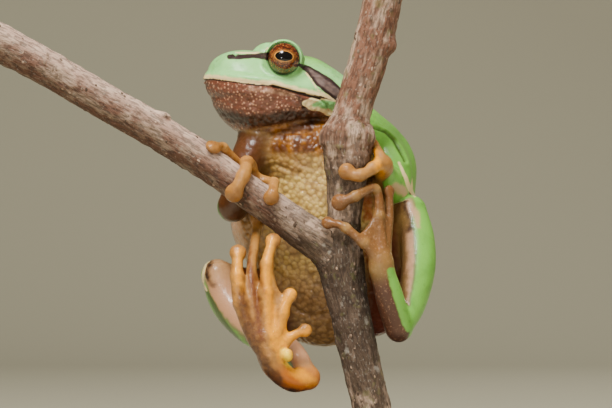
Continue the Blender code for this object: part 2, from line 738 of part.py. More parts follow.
COLOURS = {
    # key: (colour, roughness)
    "green": ((0.33, 0.55, 0.24), 0.4),
    "belly": ((0.62, 0.50, 0.30), 0.5),
    "flank": ((0.35, 0.16, 0.08), 0.45),
    "bronze": ((0.20, 0.11, 0.07), 0.45),
    "digits": ((0.75, 0.36, 0.09), 0.4),
    "web": ((0.45, 0.24, 0.10), 0.4),
    "eye": ((0.35, 0.17, 0.06), 0.1),
    "bark": ((0.14, 0.10, 0.08), 0.9),
    "base": ((0.05, 0.05, 0.05), 0.5),
    "rod": ((0.35, 0.35, 0.36), 0.3),
}


def material(key):
    """A plain material, made once for each key."""
    made = bpy.data.materials.get(key)
    if made is None:
        made = bpy.data.materials.new(key)
        made.use_nodes = True
        shader = made.node_tree.nodes["Principled BSDF"]
        colour, roughness = COLOURS[key]
        shader.inputs["Base Color"].default_value = (*colour, 1)
        shader.inputs["Roughness"].default_value = roughness
        shader.inputs["Metallic"].default_value = 1.0 if key == "rod" else 0.0
    return made


def finish(obj, key, collection):
    """Puts a piece in the collection in metres, over the middle of the base, with its material."""
    baked(obj)
    x, y = BASE_CENTRE
    place = Matrix.Diagonal((MM, MM, MM, 1)) @ Matrix.Translation((-x, -y, LIFT)) @ obj.matrix_world
    obj.data.transform(place)
    obj.matrix_world = Matrix.Identity(4)
    obj.data.materials.clear()
    obj.data.materials.append(material(key))
    for holder in obj.users_collection:
        holder.objects.unlink(obj)
    collection.objects.link(obj)


def neck_trims(name):
    """What the neck's thin cut takes away from the head, and from the torso."""
    half = np.array(NECK_NORMAL) * GAP / 2
    if name == "head":
        return (half_space("below_neck", NECK_PLACE + half, NECK_NORMAL),)
    if name == "torso":
        return (half_space("above_neck", NECK_PLACE - half, -np.array(NECK_NORMAL)),)
    return ()


def main():
    for obj in list(bpy.data.objects):
        bpy.data.objects.remove(obj)
    collection = bpy.data.collections.new("tree_frog")
    bpy.context.scene.collection.children.link(collection)
    plans = {
        "perch_stem": (stem_forms(), 0.5, 1200, "bark", ()),
        "perch_branch": (branch_forms(), 0.5, 850, "bark", ("perch_stem",)),
        **skin_nodes(),
    }
    rooms = {}
    made = {}
    for name, (forms, voxel, triangles, key, neighbours) in plans.items():
        trims = neck_trims(name)
        piece = sculpted(name, forms, voxel, triangles, trims=trims)
        for other in neighbours:
            if other not in rooms:
                grown, coarse, count, _, _ = plans[other]
                rooms[other] = sculpted(f"room_{other}", grown, coarse, int(count * 0.6), level=GAP)
            cut(piece, rooms[other])
        made[name] = (piece, key)

    stem = made["perch_stem"][0]
    foot_trim = block("foot_trim", (9, 0, STEM_FOOT - 5), (20, 20, 10))
    cut(stem, foot_trim, block("top_trim", (10, 0, STEM_TOP + 5), (20, 20, 10)))
    trim = block("end_trim", (BRANCH_END - 5, -2, 21), (10, 20, 20))
    cut(made["perch_branch"][0], trim)

    head_details(made["head"][0])
    for side, name in ((1, "eye_l"), (-1, "eye_r")):
        bpy.ops.mesh.primitive_uv_sphere_add(segments=20, ring_count=10, radius=EYE_RADIUS)
        eye = bpy.context.object
        eye.name = name
        centre, outward = eye_frame(side)
        eye.rotation_euler = Vector(outward).to_track_quat("Z", "Y").to_euler()
        eye.location = centre
        made[name] = (eye, "eye")
    base, rod = stand()
    made["stand_base"] = (base, "base")
    made["stand_rod"] = (rod, "rod")
    bpy.context.view_layer.update()
    for name, (piece, key) in made.items():
        finish(piece, key, collection)
        piece.name = name
    for obj in list(bpy.data.objects):
        if obj.name not in made:
            bpy.data.objects.remove(obj)


main()
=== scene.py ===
"""The looks of a life-size European tree frog that grips a forked twig on a plain display stand.

The skin is one mesh over every node of flesh. It is blocked out from named forms, fused by a voxel Remesh,
settled onto the smooth blend of the same forms, and then given its relief: mouth line, lids, nostrils,
eardrums, folds and granules. Its markings are attributes that hold distances in millimetres, which the
material turns into edges.

Lengths are millimetres, as seen from the front in the plane of the stem, until a mesh is placed.
"""

from __future__ import annotations

import itertools
import logging
import math
from dataclasses import dataclass, field
from enum import Enum, IntEnum

import bmesh
import bpy
import numpy as np
from mathutils import Matrix, Vector

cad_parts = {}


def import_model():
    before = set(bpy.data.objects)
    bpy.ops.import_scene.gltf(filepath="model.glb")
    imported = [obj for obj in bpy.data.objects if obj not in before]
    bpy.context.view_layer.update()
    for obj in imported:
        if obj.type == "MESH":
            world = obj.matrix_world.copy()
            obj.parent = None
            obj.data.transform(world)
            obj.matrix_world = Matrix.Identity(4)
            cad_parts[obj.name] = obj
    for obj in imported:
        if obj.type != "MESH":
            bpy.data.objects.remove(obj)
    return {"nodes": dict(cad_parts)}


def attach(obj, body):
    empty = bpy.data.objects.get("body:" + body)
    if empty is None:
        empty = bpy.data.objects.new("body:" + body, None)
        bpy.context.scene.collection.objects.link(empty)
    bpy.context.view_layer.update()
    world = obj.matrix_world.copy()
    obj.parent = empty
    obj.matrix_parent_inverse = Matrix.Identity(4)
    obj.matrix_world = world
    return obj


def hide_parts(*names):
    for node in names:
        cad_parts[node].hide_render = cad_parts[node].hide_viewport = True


LOG = logging.getLogger("tree_frog")
Array = np.ndarray
Triple = tuple[float, float, float]

MM = 0.001
FAR = 9.0  # further off than a form can matter
VIEW_DISTANCE = 440.0
VIEW_WIDTH = 76.5
BASE_CENTRE = (2.0, 6.0)
LIFT = 43.0
HEAD_MIDDLE = (-4.25, 9.3, 14.9)
HEAD_YAW = math.radians(12)
HEAD_PITCH = math.radians(6)
TRUNK_MIDDLE = (2.1, 10.7, -1.6)
TRUNK_YAW = math.radians(12)
EYE_PLACE = (-0.25, 4.62, 3.15)
LID_RADII = (2.6, 1.75, 2.45)
MOUTH_LINE = ((8.6, -0.75), (8.0, -0.38), (5.0, -0.38), (1.4, -0.48), (-2.3, -1.1), (-5.0, -1.45))
STEM_FOOT = -29.0
STEM_TOP = 26.6
BRANCH_END = -40.4
IRIS_SPAN = 6.0  # how wide the iris's UV map is
HASH_STEPS = (73856093, 19349663, 83492791)  # with the next three, they place granules at random
HASH_SEED = 2654435
HASH_SPREAD = 1103515
HASH_RANGE = 1013


class Side(IntEnum):
    """The frog's own sides, as the sign of a place to its left."""

    LEFT = 1
    RIGHT = -1


def at(x: float, y: float, z: float) -> Array:
    """A place seen at x and z, at depth y, opened out for its distance from the viewer."""
    scale = 1 + y / VIEW_DISTANCE
    return np.array((x * scale, y, z * scale))


def to_world(points: Array) -> Array:
    """Takes places in the view's millimetres to the frame's metres."""
    return (points + np.array((-BASE_CENTRE[0], -BASE_CENTRE[1], LIFT))) * MM


def head_axes() -> Array:
    """The head's own axes as columns: forward along the snout, its left, and up through the crown.

    Returns:
        The axes as columns.
    """
    forward = Vector((-math.cos(HEAD_YAW), -math.sin(HEAD_YAW), math.tan(HEAD_PITCH))).normalized()
    left = Vector((math.sin(HEAD_YAW), -math.cos(HEAD_YAW), 0))
    return np.array((forward, left, forward.cross(left))).T


def in_head(forward: float, left: float, up: float) -> Array:
    """A place in the head's own axes, taken into the view's."""
    return at(*HEAD_MIDDLE) + head_axes() @ np.array((forward, left, up))


def head_coordinates(points: Array) -> Array:
    """Places in the view's axes, taken into the head's."""
    return (points - at(*HEAD_MIDDLE)) @ head_axes()


def trunk_axes() -> Array:
    """The trunk's axes as columns: its left, its back and up."""
    return np.array(Matrix.Rotation(-TRUNK_YAW, 3, "Z"))


def mouth_height(forward: Array | float) -> Array:
    """How high the mouth line runs in the head's axes, that far forward."""
    stations = sorted(MOUTH_LINE)
    return np.interp(forward, [place for place, _ in stations], [height for _, height in stations])


def facing(normal: Triple) -> Array:
    """Axes whose third column is the normal, for a flat form such as a toe pad.

    Args:
        normal: the way that the flat form faces.

    Returns:
        The axes as columns.
    """
    up = Vector(normal).normalized()
    side = up.orthogonal().normalized()
    return np.array((side, up.cross(side), up)).T


def ease(values: Array, low: float, high: float) -> Array:
    """A smooth step from 0 at low to 1 at high."""
    share = np.clip((values - low) / (high - low), 0, 1)
    return share * share * (3 - 2 * share)


@dataclass
class Form:
    """A solid that knows how far a point lies outside it.

    Args:
        soft: how wide the fillet is where it joins what came before.
    """

    soft: float

    def bounds(self) -> tuple[Array, Array]:
        """The low and high corners of its box."""
        raise NotImplementedError

    def distance(self, points: Array) -> Array:
        """How far each point lies outside it."""
        raise NotImplementedError

    def balls(self) -> list[tuple[Array, Array]]:
        """Rough balls that fill it, each as its middle and its three axes."""
        return []


class Ellipsoid(Form):
    """A rounded mass with three radii along its own axes."""

    def __init__(self, centre: Array, radii: Triple, axes: Array | None = None, soft: float = 1.0) -> None:
        """Keeps the mass's size and place.

        Args:
            centre: its middle.
            radii: its size along each axis.
            axes: its own axes as columns; the view's where left out.
            soft: how wide the fillet is where it joins what came before.
        """
        super().__init__(soft)
        self.centre = np.array(centre, float)
        self.radii = np.array(radii, float)
        self.axes = np.eye(3) if axes is None else axes

    def bounds(self) -> tuple[Array, Array]:
        """The low and high corners of its box."""
        half = np.sqrt(((self.axes * self.radii) ** 2).sum(axis=1))
        return self.centre - half, self.centre + half

    def distance(self, points: Array) -> Array:
        """How far each point lies outside it.

        Args:
            points: the places, one a row.

        Returns:
            A distance for each, below 0 inside.
        """
        local = (points - self.centre) @ self.axes
        near = np.linalg.norm(local / self.radii, axis=1)
        slope = np.linalg.norm(local / self.radii**2, axis=1)
        return near * (near - 1) / np.maximum(slope, 1e-6)

    def balls(self) -> list[tuple[Array, Array]]:
        """Rough balls that fill it, each as its middle and its three axes."""
        return [(self.centre, self.axes * self.radii)]


class Pad(Ellipsoid):
    """A digit's sticky disc."""


class Joint(Ellipsoid):
    """The slight swelling at a digit's joint."""


class Run(Form):
    """A tapered tube with round ends through (point, radius) stations, bent smoothly between them."""

    def __init__(self, stations: list[tuple[Array, float]], soft: float = 0.5, steps: int = 5) -> None:
        """Works out the bent path and the radii along it.

        Args:
            stations: places with the tube's radius there.
            soft: how wide the fillet is where it joins what came before.
            steps: how many pieces each stretch has.
        """
        super().__init__(soft)
        rows = np.array([(*place, size) for place, size in stations])
        ends = np.vstack((2 * rows[0] - rows[1], rows, 2 * rows[-1] - rows[-2]))
        made = []
        for i in range(1, len(ends) - 2):
            before, start, stop, after = ends[i - 1 : i + 3]
            for t in np.arange(steps) / steps:
                bend = (2 * before - 5 * start + 4 * stop - after) * t**2
                twist = (3 * start - before - 3 * stop + after) * t**3
                made.append(0.5 * (2 * start + (stop - before) * t + bend + twist))
        made = np.array([*made, ends[-2]])
        self.path = made[:, :3]
        self.radii = made[:, 3]

    def bounds(self) -> tuple[Array, Array]:
        """The low and high corners of its box."""
        radii = self.radii[:, None]
        return (self.path - radii).min(axis=0), (self.path + radii).max(axis=0)

    def distance(self, points: Array) -> Array:
        """How far each point lies outside it.

        Args:
            points: the places, one a row.

        Returns:
            A distance for each, below 0 inside.
        """
        start, along = self.path[:-1], np.diff(self.path, axis=0)
        size = (along**2).sum(axis=1)
        reach = points @ along.T - (start * along).sum(axis=1)
        share = np.clip(reach / size, 0, 1)
        apart = (points**2).sum(axis=1)[:, None] - 2 * points @ start.T + (start**2).sum(axis=1)
        square = apart - 2 * share * reach + share**2 * size
        radius = self.radii[:-1] + share * np.diff(self.radii)
        return (np.sqrt(np.maximum(square, 0)) - radius).min(axis=1)

    def balls(self) -> list[tuple[Array, Array]]:
        """Rough balls that fill it, each as its middle and its three axes.

        Returns:
            Each ball's middle and its three axes.
        """
        found = []
        for i in range(len(self.path) - 1):
            along = self.path[i + 1] - self.path[i]
            count = max(1, math.ceil(np.linalg.norm(along) / (0.35 * self.radii[i])))
            for share in np.arange(count + 1) / count:
                radius = self.radii[i] + share * (self.radii[i + 1] - self.radii[i])
                found.append((self.path[i] + share * along, np.eye(3) * radius))
        return found


@dataclass
class Blend:
    """Forms joined with fillets into one smooth solid.

    Args:
        forms: the forms, in the order in which they are joined.
        chunk: how many points are measured together.
        block: how far apart such points may lie.
        margin: how far past its own box a form is still measured.
        close: how near to the surface a point counts as on it.
        stride: the longest move in one round of settling.
    """

    forms: list[Form]
    chunk: int = 1500
    block: float = 3.0
    margin: float = 1.2
    close: float = 0.004
    stride: float = 0.6

    def __post_init__(self) -> None:
        """Measures the box that each form can reach."""
        boxes = [form.bounds() for form in self.forms]
        reach = np.array([form.soft + self.margin for form in self.forms])[:, None]
        self.lows = np.array([low for low, _ in boxes]) - reach
        self.highs = np.array([high for _, high in boxes]) + reach

    def distance(self, points: Array) -> Array:
        """How far each point lies outside the solid, measured in groups of points that lie together.

        Args:
            points: the places, one a row.

        Returns:
            A distance for each, below 0 inside.
        """
        found = np.full(len(points), FAR)
        cell = np.floor(points / self.block).astype(np.int64) + 50
        order = np.argsort((cell[:, 0] * 100 + cell[:, 1]) * 100 + cell[:, 2], kind="stable")
        for start in range(0, len(points), self.chunk):
            group = order[start : start + self.chunk]
            found[group] = self.near_distance(points[group])
        return found

    def near_distance(self, points: Array) -> Array:
        """The distance for points that lie together. Forms out of a point's reach aren't measured there.

        Args:
            points: places that lie together.

        Returns:
            A distance for each, below 0 inside.
        """
        found = np.full(len(points), FAR)
        low, high = points.min(axis=0), points.max(axis=0)
        for i in np.flatnonzero(((self.lows < high) & (self.highs > low)).all(axis=1)):
            form = self.forms[i]
            near = np.flatnonzero(((points > self.lows[i]) & (points < self.highs[i])).all(axis=1))
            if not len(near):
                continue
            sign = -1 if isinstance(form, EyeOpening) else 1
            first, second = sign * found[near], form.distance(points[near])
            share = np.clip(0.5 + 0.5 * (second - first) / form.soft, 0, 1)
            joined = second + (first - second) * share - form.soft * share * (1 - share)
            found[near] = sign * joined
        return found

    def settle(self, points: Array, rounds: int = 3, step: float = 0.02) -> Array:
        """Moves points onto the surface, leaving those that already lie on it.

        Args:
            points: where they start.
            rounds: how often to correct them.
            step: how far apart the distance is sampled for its slope.

        Returns:
            The moved points.
        """
        points = points.copy()
        for _ in range(rounds):
            off = self.distance(points)
            loose = np.flatnonzero(np.abs(off) > self.close)
            start = points[loose]
            probes = np.concatenate([start + np.eye(3)[axis] * step for axis in range(3)])
            slope = (self.distance(probes).reshape(3, -1).T - off[loose, None]) / step
            steep = np.maximum((slope**2).sum(axis=1), 0.05)
            move = np.clip(off[loose], -self.stride, self.stride) / steep
            points[loose] = start - move[:, None] * slope
        return points

    def touch(self, places: Array, direction: Array) -> Array:
        """Where rays from outside first meet the surface, one row for each.

        Args:
            places: where the rays start.
            direction: the way they go, one for all or one each.

        Returns:
            Where each ray ends.
        """
        places = np.array(places, float)
        for _ in range(40):
            away = self.distance(places)
            if away.max() < 0.01:
                break
            places = places + direction * np.maximum(away, 0)[:, None] * 0.85
        return places

    def meshed(self, name: str, voxel: float) -> bpy.types.Object:
        """One closed mesh over the solid, in millimetres.

        Args:
            name: the object's name.
            voxel: how fine its faces are.

        Returns:
            The object, linked to the scene.
        """
        ball = bmesh.new()
        bmesh.ops.create_icosphere(ball, subdivisions=3, radius=1)
        points = np.array([vert.co for vert in ball.verts])
        faces = np.array([[vert.index for vert in face.verts] for face in ball.faces])
        ball.free()
        balls = [found for form in self.forms for found in form.balls()]
        places = np.concatenate([middle + points @ axes.T for middle, axes in balls])
        sides = np.concatenate([faces + i * len(points) for i in range(len(balls))])
        mesh = bpy.data.meshes.new(name)
        mesh.from_pydata(places, [], sides)
        obj = linked(name, mesh)
        fuse = obj.modifiers.new("fuse", "REMESH")
        fuse.mode = "VOXEL"
        fuse.voxel_size = voxel
        bake(obj)
        write_points(obj, self.settle(read_points(obj)))
        even = obj.modifiers.new("even", "SMOOTH")
        even.factor = 0.5
        even.iterations = 4
        bake(obj)
        write_points(obj, self.settle(read_points(obj), rounds=2))
        keep_largest(obj)
        return obj


def linked(name: str, data: bpy.types.ID) -> bpy.types.Object:
    """A new object for a mesh, light or camera, linked to the scene.

    Args:
        name: the object's name.
        data: what it holds.

    Returns:
        The object.
    """
    obj = bpy.data.objects.new(name, data)
    bpy.context.scene.collection.objects.link(obj)
    return obj


def from_bmesh(name: str, mesh: bmesh.types.BMesh) -> bpy.types.Object:
    """A new object made from a bmesh, which is freed.

    Args:
        name: the object's name.
        mesh: its faces.

    Returns:
        The object.
    """
    data = bpy.data.meshes.new(name)
    mesh.to_mesh(data)
    mesh.free()
    return linked(name, data)


def smoothed(obj: bpy.types.Object) -> bpy.types.Object:
    """Shades every face smooth and reports the piece.

    Args:
        obj: the piece.

    Returns:
        The same piece.
    """
    for face in obj.data.polygons:
        face.use_smooth = True
    LOG.info("%s: %d points, %d faces", obj.name, len(obj.data.vertices), len(obj.data.polygons))
    return obj


def bake(obj: bpy.types.Object) -> None:
    """Replaces an object's mesh by what its modifiers make of it.

    Args:
        obj: the object to change.
    """
    graph = bpy.context.evaluated_depsgraph_get()
    made = bpy.data.meshes.new_from_object(obj.evaluated_get(graph))
    old = obj.data
    obj.modifiers.clear()
    obj.data = made
    bpy.data.meshes.remove(old)
    made.name = obj.name


def read_points(obj: bpy.types.Object) -> Array:
    """The object's points as rows.

    Args:
        obj: the object.

    Returns:
        One row for each point.
    """
    points = np.empty(len(obj.data.vertices) * 3, np.float32)
    obj.data.vertices.foreach_get("co", points)
    return points.reshape(-1, 3).astype(float)


def write_points(obj: bpy.types.Object, points: Array) -> None:
    """Moves the object's points."""
    obj.data.vertices.foreach_set("co", points.astype(np.float32).ravel())
    obj.data.update()


def read_normals(obj: bpy.types.Object) -> Array:
    """The object's point normals as rows.

    Args:
        obj: the object.

    Returns:
        One row for each point.
    """
    normals = np.empty(len(obj.data.vertices) * 3, np.float32)
    obj.data.vertex_normals.foreach_get("vector", normals)
    return normals.reshape(-1, 3).astype(float)


def write_attribute(obj: bpy.types.Object, name: str, values: Array) -> None:
    """Stores one number for each point."""
    layer = obj.data.attributes.new(name, "FLOAT", "POINT")
    layer.data.foreach_set("value", values.astype(np.float32))


def keep_largest(obj: bpy.types.Object) -> None:
    """Drops loose scraps and keeps the mesh's largest body.

    Args:
        obj: the object to change.
    """
    edges = np.empty(len(obj.data.edges) * 2, np.int32)
    obj.data.edges.foreach_get("vertices", edges)
    edges = edges.reshape(-1, 2)
    label = np.arange(len(obj.data.vertices))
    while True:
        low = np.minimum(label[edges[:, 0]], label[edges[:, 1]])
        fresh = label.copy()
        np.minimum.at(fresh, edges[:, 0], low)
        np.minimum.at(fresh, edges[:, 1], low)
        fresh = fresh[fresh]
        if (fresh == label).all():
            break
        label = fresh
    names, counts = np.unique(label, return_counts=True)
    if len(names) == 1:
        return
    mesh = bmesh.new()
    mesh.from_mesh(obj.data)
    mesh.verts.ensure_lookup_table()
    loose = [mesh.verts[i] for i in np.flatnonzero(label != names[counts.argmax()])]
    bmesh.ops.delete(mesh, geom=loose, context="VERTS")
    mesh.to_mesh(obj.data)
    mesh.free()


def cell_bumps(points: Array, size: float, seed: int) -> Array:
    """Rounded granules: 1 in the middle of each cell, falling to 0 at its edge.

    Args:
        points: where they are wanted.
        size: how far apart the granules stand.
        seed: which pattern.

    Returns:
        One height for each point.
    """
    scaled = points / size
    base = np.floor(scaled).astype(np.int64)
    nearest = np.full(len(points), FAR)
    for neighbour in itertools.product((-1, 0, 1), repeat=3):
        cell = base + neighbour
        mixed = np.bitwise_xor.reduce(cell * HASH_STEPS, axis=1) ^ seed * HASH_SEED
        drawn = [(mixed >> shift) * HASH_SPREAD % HASH_RANGE for shift in (0, 5, 11)]
        jitter = np.stack(drawn, axis=1) / HASH_RANGE
        away = ((scaled - cell - 0.15 - 0.7 * jitter) ** 2).sum(axis=1)
        np.minimum(nearest, away, out=nearest)
    return np.clip(1 - nearest * 1.9, 0, 1)


def waves(points: Array, size: float, seed: int) -> Array:
    """Gentle, seeded unevenness between -1 and 1.

    Args:
        points: where it is wanted.
        size: how long a wave is, more or less.
        seed: which pattern.

    Returns:
        One value for each point.
    """
    rng = np.random.default_rng(seed)
    total = np.zeros(len(points))
    for _ in range(9):
        heading = rng.normal(size=3)
        heading *= 2 * math.pi / (size * np.linalg.norm(heading)) * rng.uniform(0.7, 1.5)
        total += np.sin(points @ heading + rng.uniform(0, 6.28))
    return total / 4.5


@dataclass
class EyeOpening(Form):
    """What is cut away in front of an eyeball: everything past a plane, inside a widening rim.

    Args:
        middle: the eyeball's middle.
        outward: the way that the pupil faces.
        plane: how far in front of the middle the lids lie.
        radius: how wide the opening is before its rim rises.
    """

    middle: Array
    outward: Array
    plane: float = 0.4
    radius: float = 2.14

    def bounds(self) -> tuple[Array, Array]:
        """The low and high corners of its box."""
        return self.middle - 3.4, self.middle + 3.4

    def distance(self, points: Array) -> Array:
        """How far each point lies outside it.

        Args:
            points: the places, one a row.

        Returns:
            A distance for each, below 0 inside.
        """
        local = points - self.middle
        height = local @ self.outward
        across = np.linalg.norm(local - height[:, None] * self.outward, axis=1)
        return self.plane - height + 4 * np.maximum(0, across - self.radius)


def eye_frame(side: Side) -> tuple[Array, Array]:
    """An eyeball's middle, and the way that its pupil faces.

    Args:
        side: which eye it is.

    Returns:
        The middle, and a unit vector outward.
    """
    forward, left, up = EYE_PLACE
    outward = head_axes() @ np.array((0.2, side, 0.05))
    return in_head(forward, side * left, up), outward / np.linalg.norm(outward)


def limb(*stations: tuple[float, float, float, float], soft: float = 0.9, steps: int = 7) -> Run:
    """A limb from stations given as seen: x, y, z and the radius."""
    return Run([(at(x, y, z), radius) for x, y, z, radius in stations], soft, steps)


def digit(root: tuple[float, float, float, float], *stations: tuple[float, float, float, float]) -> Run:
    """A finger or toe from its root on the palm, out along stations given as seen."""
    return limb(root, *stations, soft=0.45, steps=5)


def pad(x: float, y: float, z: float, radius: float, normal: Triple) -> Pad:
    """A digit's sticky disc, flattened along the normal."""
    return Pad(at(x, y, z), (radius * 1.06, radius * 1.06, radius * 0.66), facing(normal), soft=0.3)


def knuckles(run: Run, shares: tuple[float, ...], extra: float = 0.1) -> list[Form]:
    """Slight swellings at a digit's joints.

    Args:
        run: the digit.
        shares: how far along it each joint lies.
        extra: how much thicker than the digit it is.

    Returns:
        The swellings.
    """
    found: list[Form] = []
    for share in shares:
        i = int(share * (len(run.path) - 1))
        size = run.radii[i] + extra
        found.append(Joint(run.path[i], (size, size, size), soft=0.35))
    return found


def web(first: Run, second: Run, reach: float, ratio: float = 1.0, strands: int = 12) -> list[Form]:
    """A membrane between two digits, made of thin strands that sag more towards its edge.

    Args:
        first: one digit.
        second: the other.
        reach: how far along the first it goes.
        ratio: how far along the second, as a share of that.
        strands: how many there are.

    Returns:
        The strands.
    """
    found: list[Form] = []
    for share in np.linspace(0.1, reach, strands):
        ends = []
        for run, part in ((first, share), (second, share * ratio)):
            place = part * (len(run.path) - 1)
            low = int(place)
            high = min(low + 1, len(run.path) - 1)
            ends.append(run.path[low] + (run.path[high] - run.path[low]) * (place - low))
        middle = (ends[0] + ends[1]) / 2
        middle = middle + (first.path[0] - middle) * 0.1 * share
        found.append(Run([(ends[0], 0.28), (middle, 0.22), (ends[1], 0.28)], soft=0.4, steps=2))
    return found


@dataclass
class Anatomy:
    """The frog's forms, one group for each part.

    Args:
        groups: the forms by part, filled in as it is made.
    """

    groups: dict[str, list[Form]] = field(default_factory=dict)

    def __post_init__(self) -> None:
        """Makes every group."""
        self.groups |= {"trunk": self.trunk(), "skull": self.skull()}
        self.groups |= {name: [run] for name, run in self.limbs().items()}
        self.groups |= {"hand_r": self.right_hand(), "hand_l": self.left_hand()}
        self.groups |= {"foot_r": self.right_foot(), "foot_l": self.left_foot()}

    def body(self) -> Blend:
        """Every form, with the openings of the eyes, as one solid."""
        forms = [form for group in self.groups.values() for form in group]
        return Blend([*forms, *self.lids()])

    def trunk(self) -> list[Form]:
        """Belly, chest, nape, back and rump, turned a little to the frog's right.

        Returns:
            The forms.
        """
        axes = trunk_axes()
        nape = [(in_head(-4.0, 0, -0.6), 4.6), (at(3.6, 10.4, 10.0), 4.8), (at(6.2, 10.9, 5.0), 6.2)]
        return [
            Ellipsoid(at(*TRUNK_MIDDLE), (12.0, 7.2, 10.2), axes),
            Ellipsoid(at(3.8, 10.3, 4.0), (10.3, 6.4, 7.5), axes, soft=2.0),
            Ellipsoid(at(-0.6, 9.6, 6.6), (7.6, 5.6, 4.6), axes, soft=1.5),
            Run(nape, soft=2.5),
            Ellipsoid(at(2.2, 10.6, -10.0), (8.2, 6.0, 7.4), axes, soft=2.0),
            Ellipsoid(at(2.1, 10.4, -14.4), (4.4, 4.2, 3.4), axes, soft=1.5),
        ]

    def skull(self) -> list[Form]:
        """Blunt snout, crown, lips, jaw with the folded vocal sac, cheeks, and the bulges of the eyes.

        Returns:
            The forms.
        """
        axes = head_axes()

        def mass(forward: float, left: float, up: float, *radii: float, soft: float = 1.5) -> Ellipsoid:
            """A rounded mass in the head's own axes."""
            return Ellipsoid(in_head(forward, left, up), radii, axes, soft)

        forms: list[Form] = [
            mass(-2.0, 0, 0.6, 7.0, 5.2, 2.9, soft=1.6),
            mass(3.4, 0, 1.1, 4.9, 4.2, 2.9, soft=1.6),
            mass(-1.5, 0, -0.5, 10.0, 6.6, 1.9, soft=1.4),
            mass(-5.5, 0, -0.3, 4.8, 6.2, 2.5, soft=1.6),
            mass(-1.0, 0, -2.3, 8.5, 6.3, 4.2, soft=0.7),
            mass(0.6, 0, -4.0, 5.3, 5.2, 2.7, soft=1.2),
        ]
        lip, jaw = [], []
        for turn in np.linspace(-2.2, 2.2, 15):
            forward = -1.5 + 9.7 * math.cos(turn)
            lip.append((in_head(forward, 6.35 * math.sin(turn), float(mouth_height(forward)) + 0.55), 0.5))
            forward = -1.5 + 9.0 * math.cos(turn)
            jaw.append((in_head(forward, 5.9 * math.sin(turn), float(mouth_height(forward)) - 0.95), 0.8))
        forms.append(Run(lip, soft=0.6, steps=2))
        forms.append(Run(jaw[3:-3], soft=0.7, steps=2))
        for side in Side:
            forward, left, up = EYE_PLACE
            forms.append(mass(forward, side * (left - 0.2), up + 0.05, *LID_RADII, soft=0.7))
            forms.append(mass(-4.6, side * 5.4, -1.4, 3.2, 1.5, 2.2, soft=1.0))
        return forms

    def lids(self) -> list[Form]:
        """The openings of the eyes, and the rim that stands round each.

        Returns:
            The forms.
        """
        forms: list[Form] = []
        for side in Side:
            middle, outward = eye_frame(side)
            forms.append(EyeOpening(0.18, middle, outward))
            flat = facing(tuple(outward))
            rim = []
            for turn in np.linspace(0, 2 * math.pi, 17):
                away = flat @ np.array((2.2 * math.cos(turn), 2.2 * math.sin(turn), 0.4))
                rim.append((middle + away, 0.14))
            forms.append(Run(rim, soft=0.2, steps=2))
        return forms

    def limbs(self) -> dict[str, Run]:
        """Arms and legs without hands and feet.

        Returns:
            A tube for each part, by name.
        """
        return {
            "upper_arm_r": limb(
                (-5.0, 8.4, 8.6, 3.0), (-6.8, 6.9, 6.0, 2.5), (-8.1, 5.8, 2.8, 2.0), (-9.2, 5.0, -0.4, 1.8),
                soft=1.2
            ),
            "upper_arm_l": limb(
                (7.2, 8.4, 8.2, 2.8), (9.8, 6.2, 6.2, 2.6), (11.0, 5.0, 4.0, 2.3), (11.1, 4.7, 1.8, 1.8),
                soft=0.8
            ),
            "forearm_r": limb(
                (-9.1, 4.8, -0.3, 1.85), (-8.4, 4.2, 1.2, 1.6), (-7.5, 3.1, 2.5, 1.15), soft=0.6,
            ),
            "forearm_l": limb((11.0, 4.6, 1.9, 1.75), (10.4, 2.8, 3.0, 1.6), (9.5, 1.0, 4.4, 1.2), soft=0.5),
            "thigh_r": limb(
                (-1.0, 10.4, -13.6, 3.3), (-5.2, 9.0, -12.4, 3.7), (-8.7, 7.2, -10.8, 3.1),
                (-11.1, 5.3, -8.9, 1.85)
            ),
            "thigh_l": limb(
                (5.0, 10.4, -13.4, 3.4), (9.2, 8.4, -12.6, 3.6), (11.7, 6.7, -7.6, 3.4),
                (13.0, 4.9, -0.9, 1.85),
                soft=0.6,
            ),
            "shank_r": limb(
                (-11.1, 5.2, -8.9, 2.0), (-9.7, 4.2, -12.3, 2.3), (-7.0, 2.0, -15.3, 2.25),
                (-3.9, -0.6, -17.2, 1.9), (-1.4, -2.8, -18.9, 1.45), (0.2, -4.4, -21.5, 1.2), soft=0.4,
            ),
            "shank_l": limb(
                (13.1, 4.8, -0.9, 2.0), (13.9, 3.4, -4.5, 2.2), (14.0, 1.8, -8.3, 2.15),
                (13.2, 0.4, -12.5, 1.8), (12.0, -1.2, -15.5, 1.3), soft=0.35,
            ),
            "tarsus_r": limb(
                (0.3, -4.6, -21.8, 1.4), (-1.6, -5.8, -22.1, 1.4), (-3.3, -6.4, -21.0, 1.45),
                (-4.2, -6.7, -19.8, 1.3)
            ),
            "tarsus_l": limb(
                (11.6, -1.6, -15.6, 1.7), (10.4, -2.6, -11.5, 1.75), (9.4, -3.2, -7.9, 1.4), soft=0.4,
            ),
        }  # fmt: skip

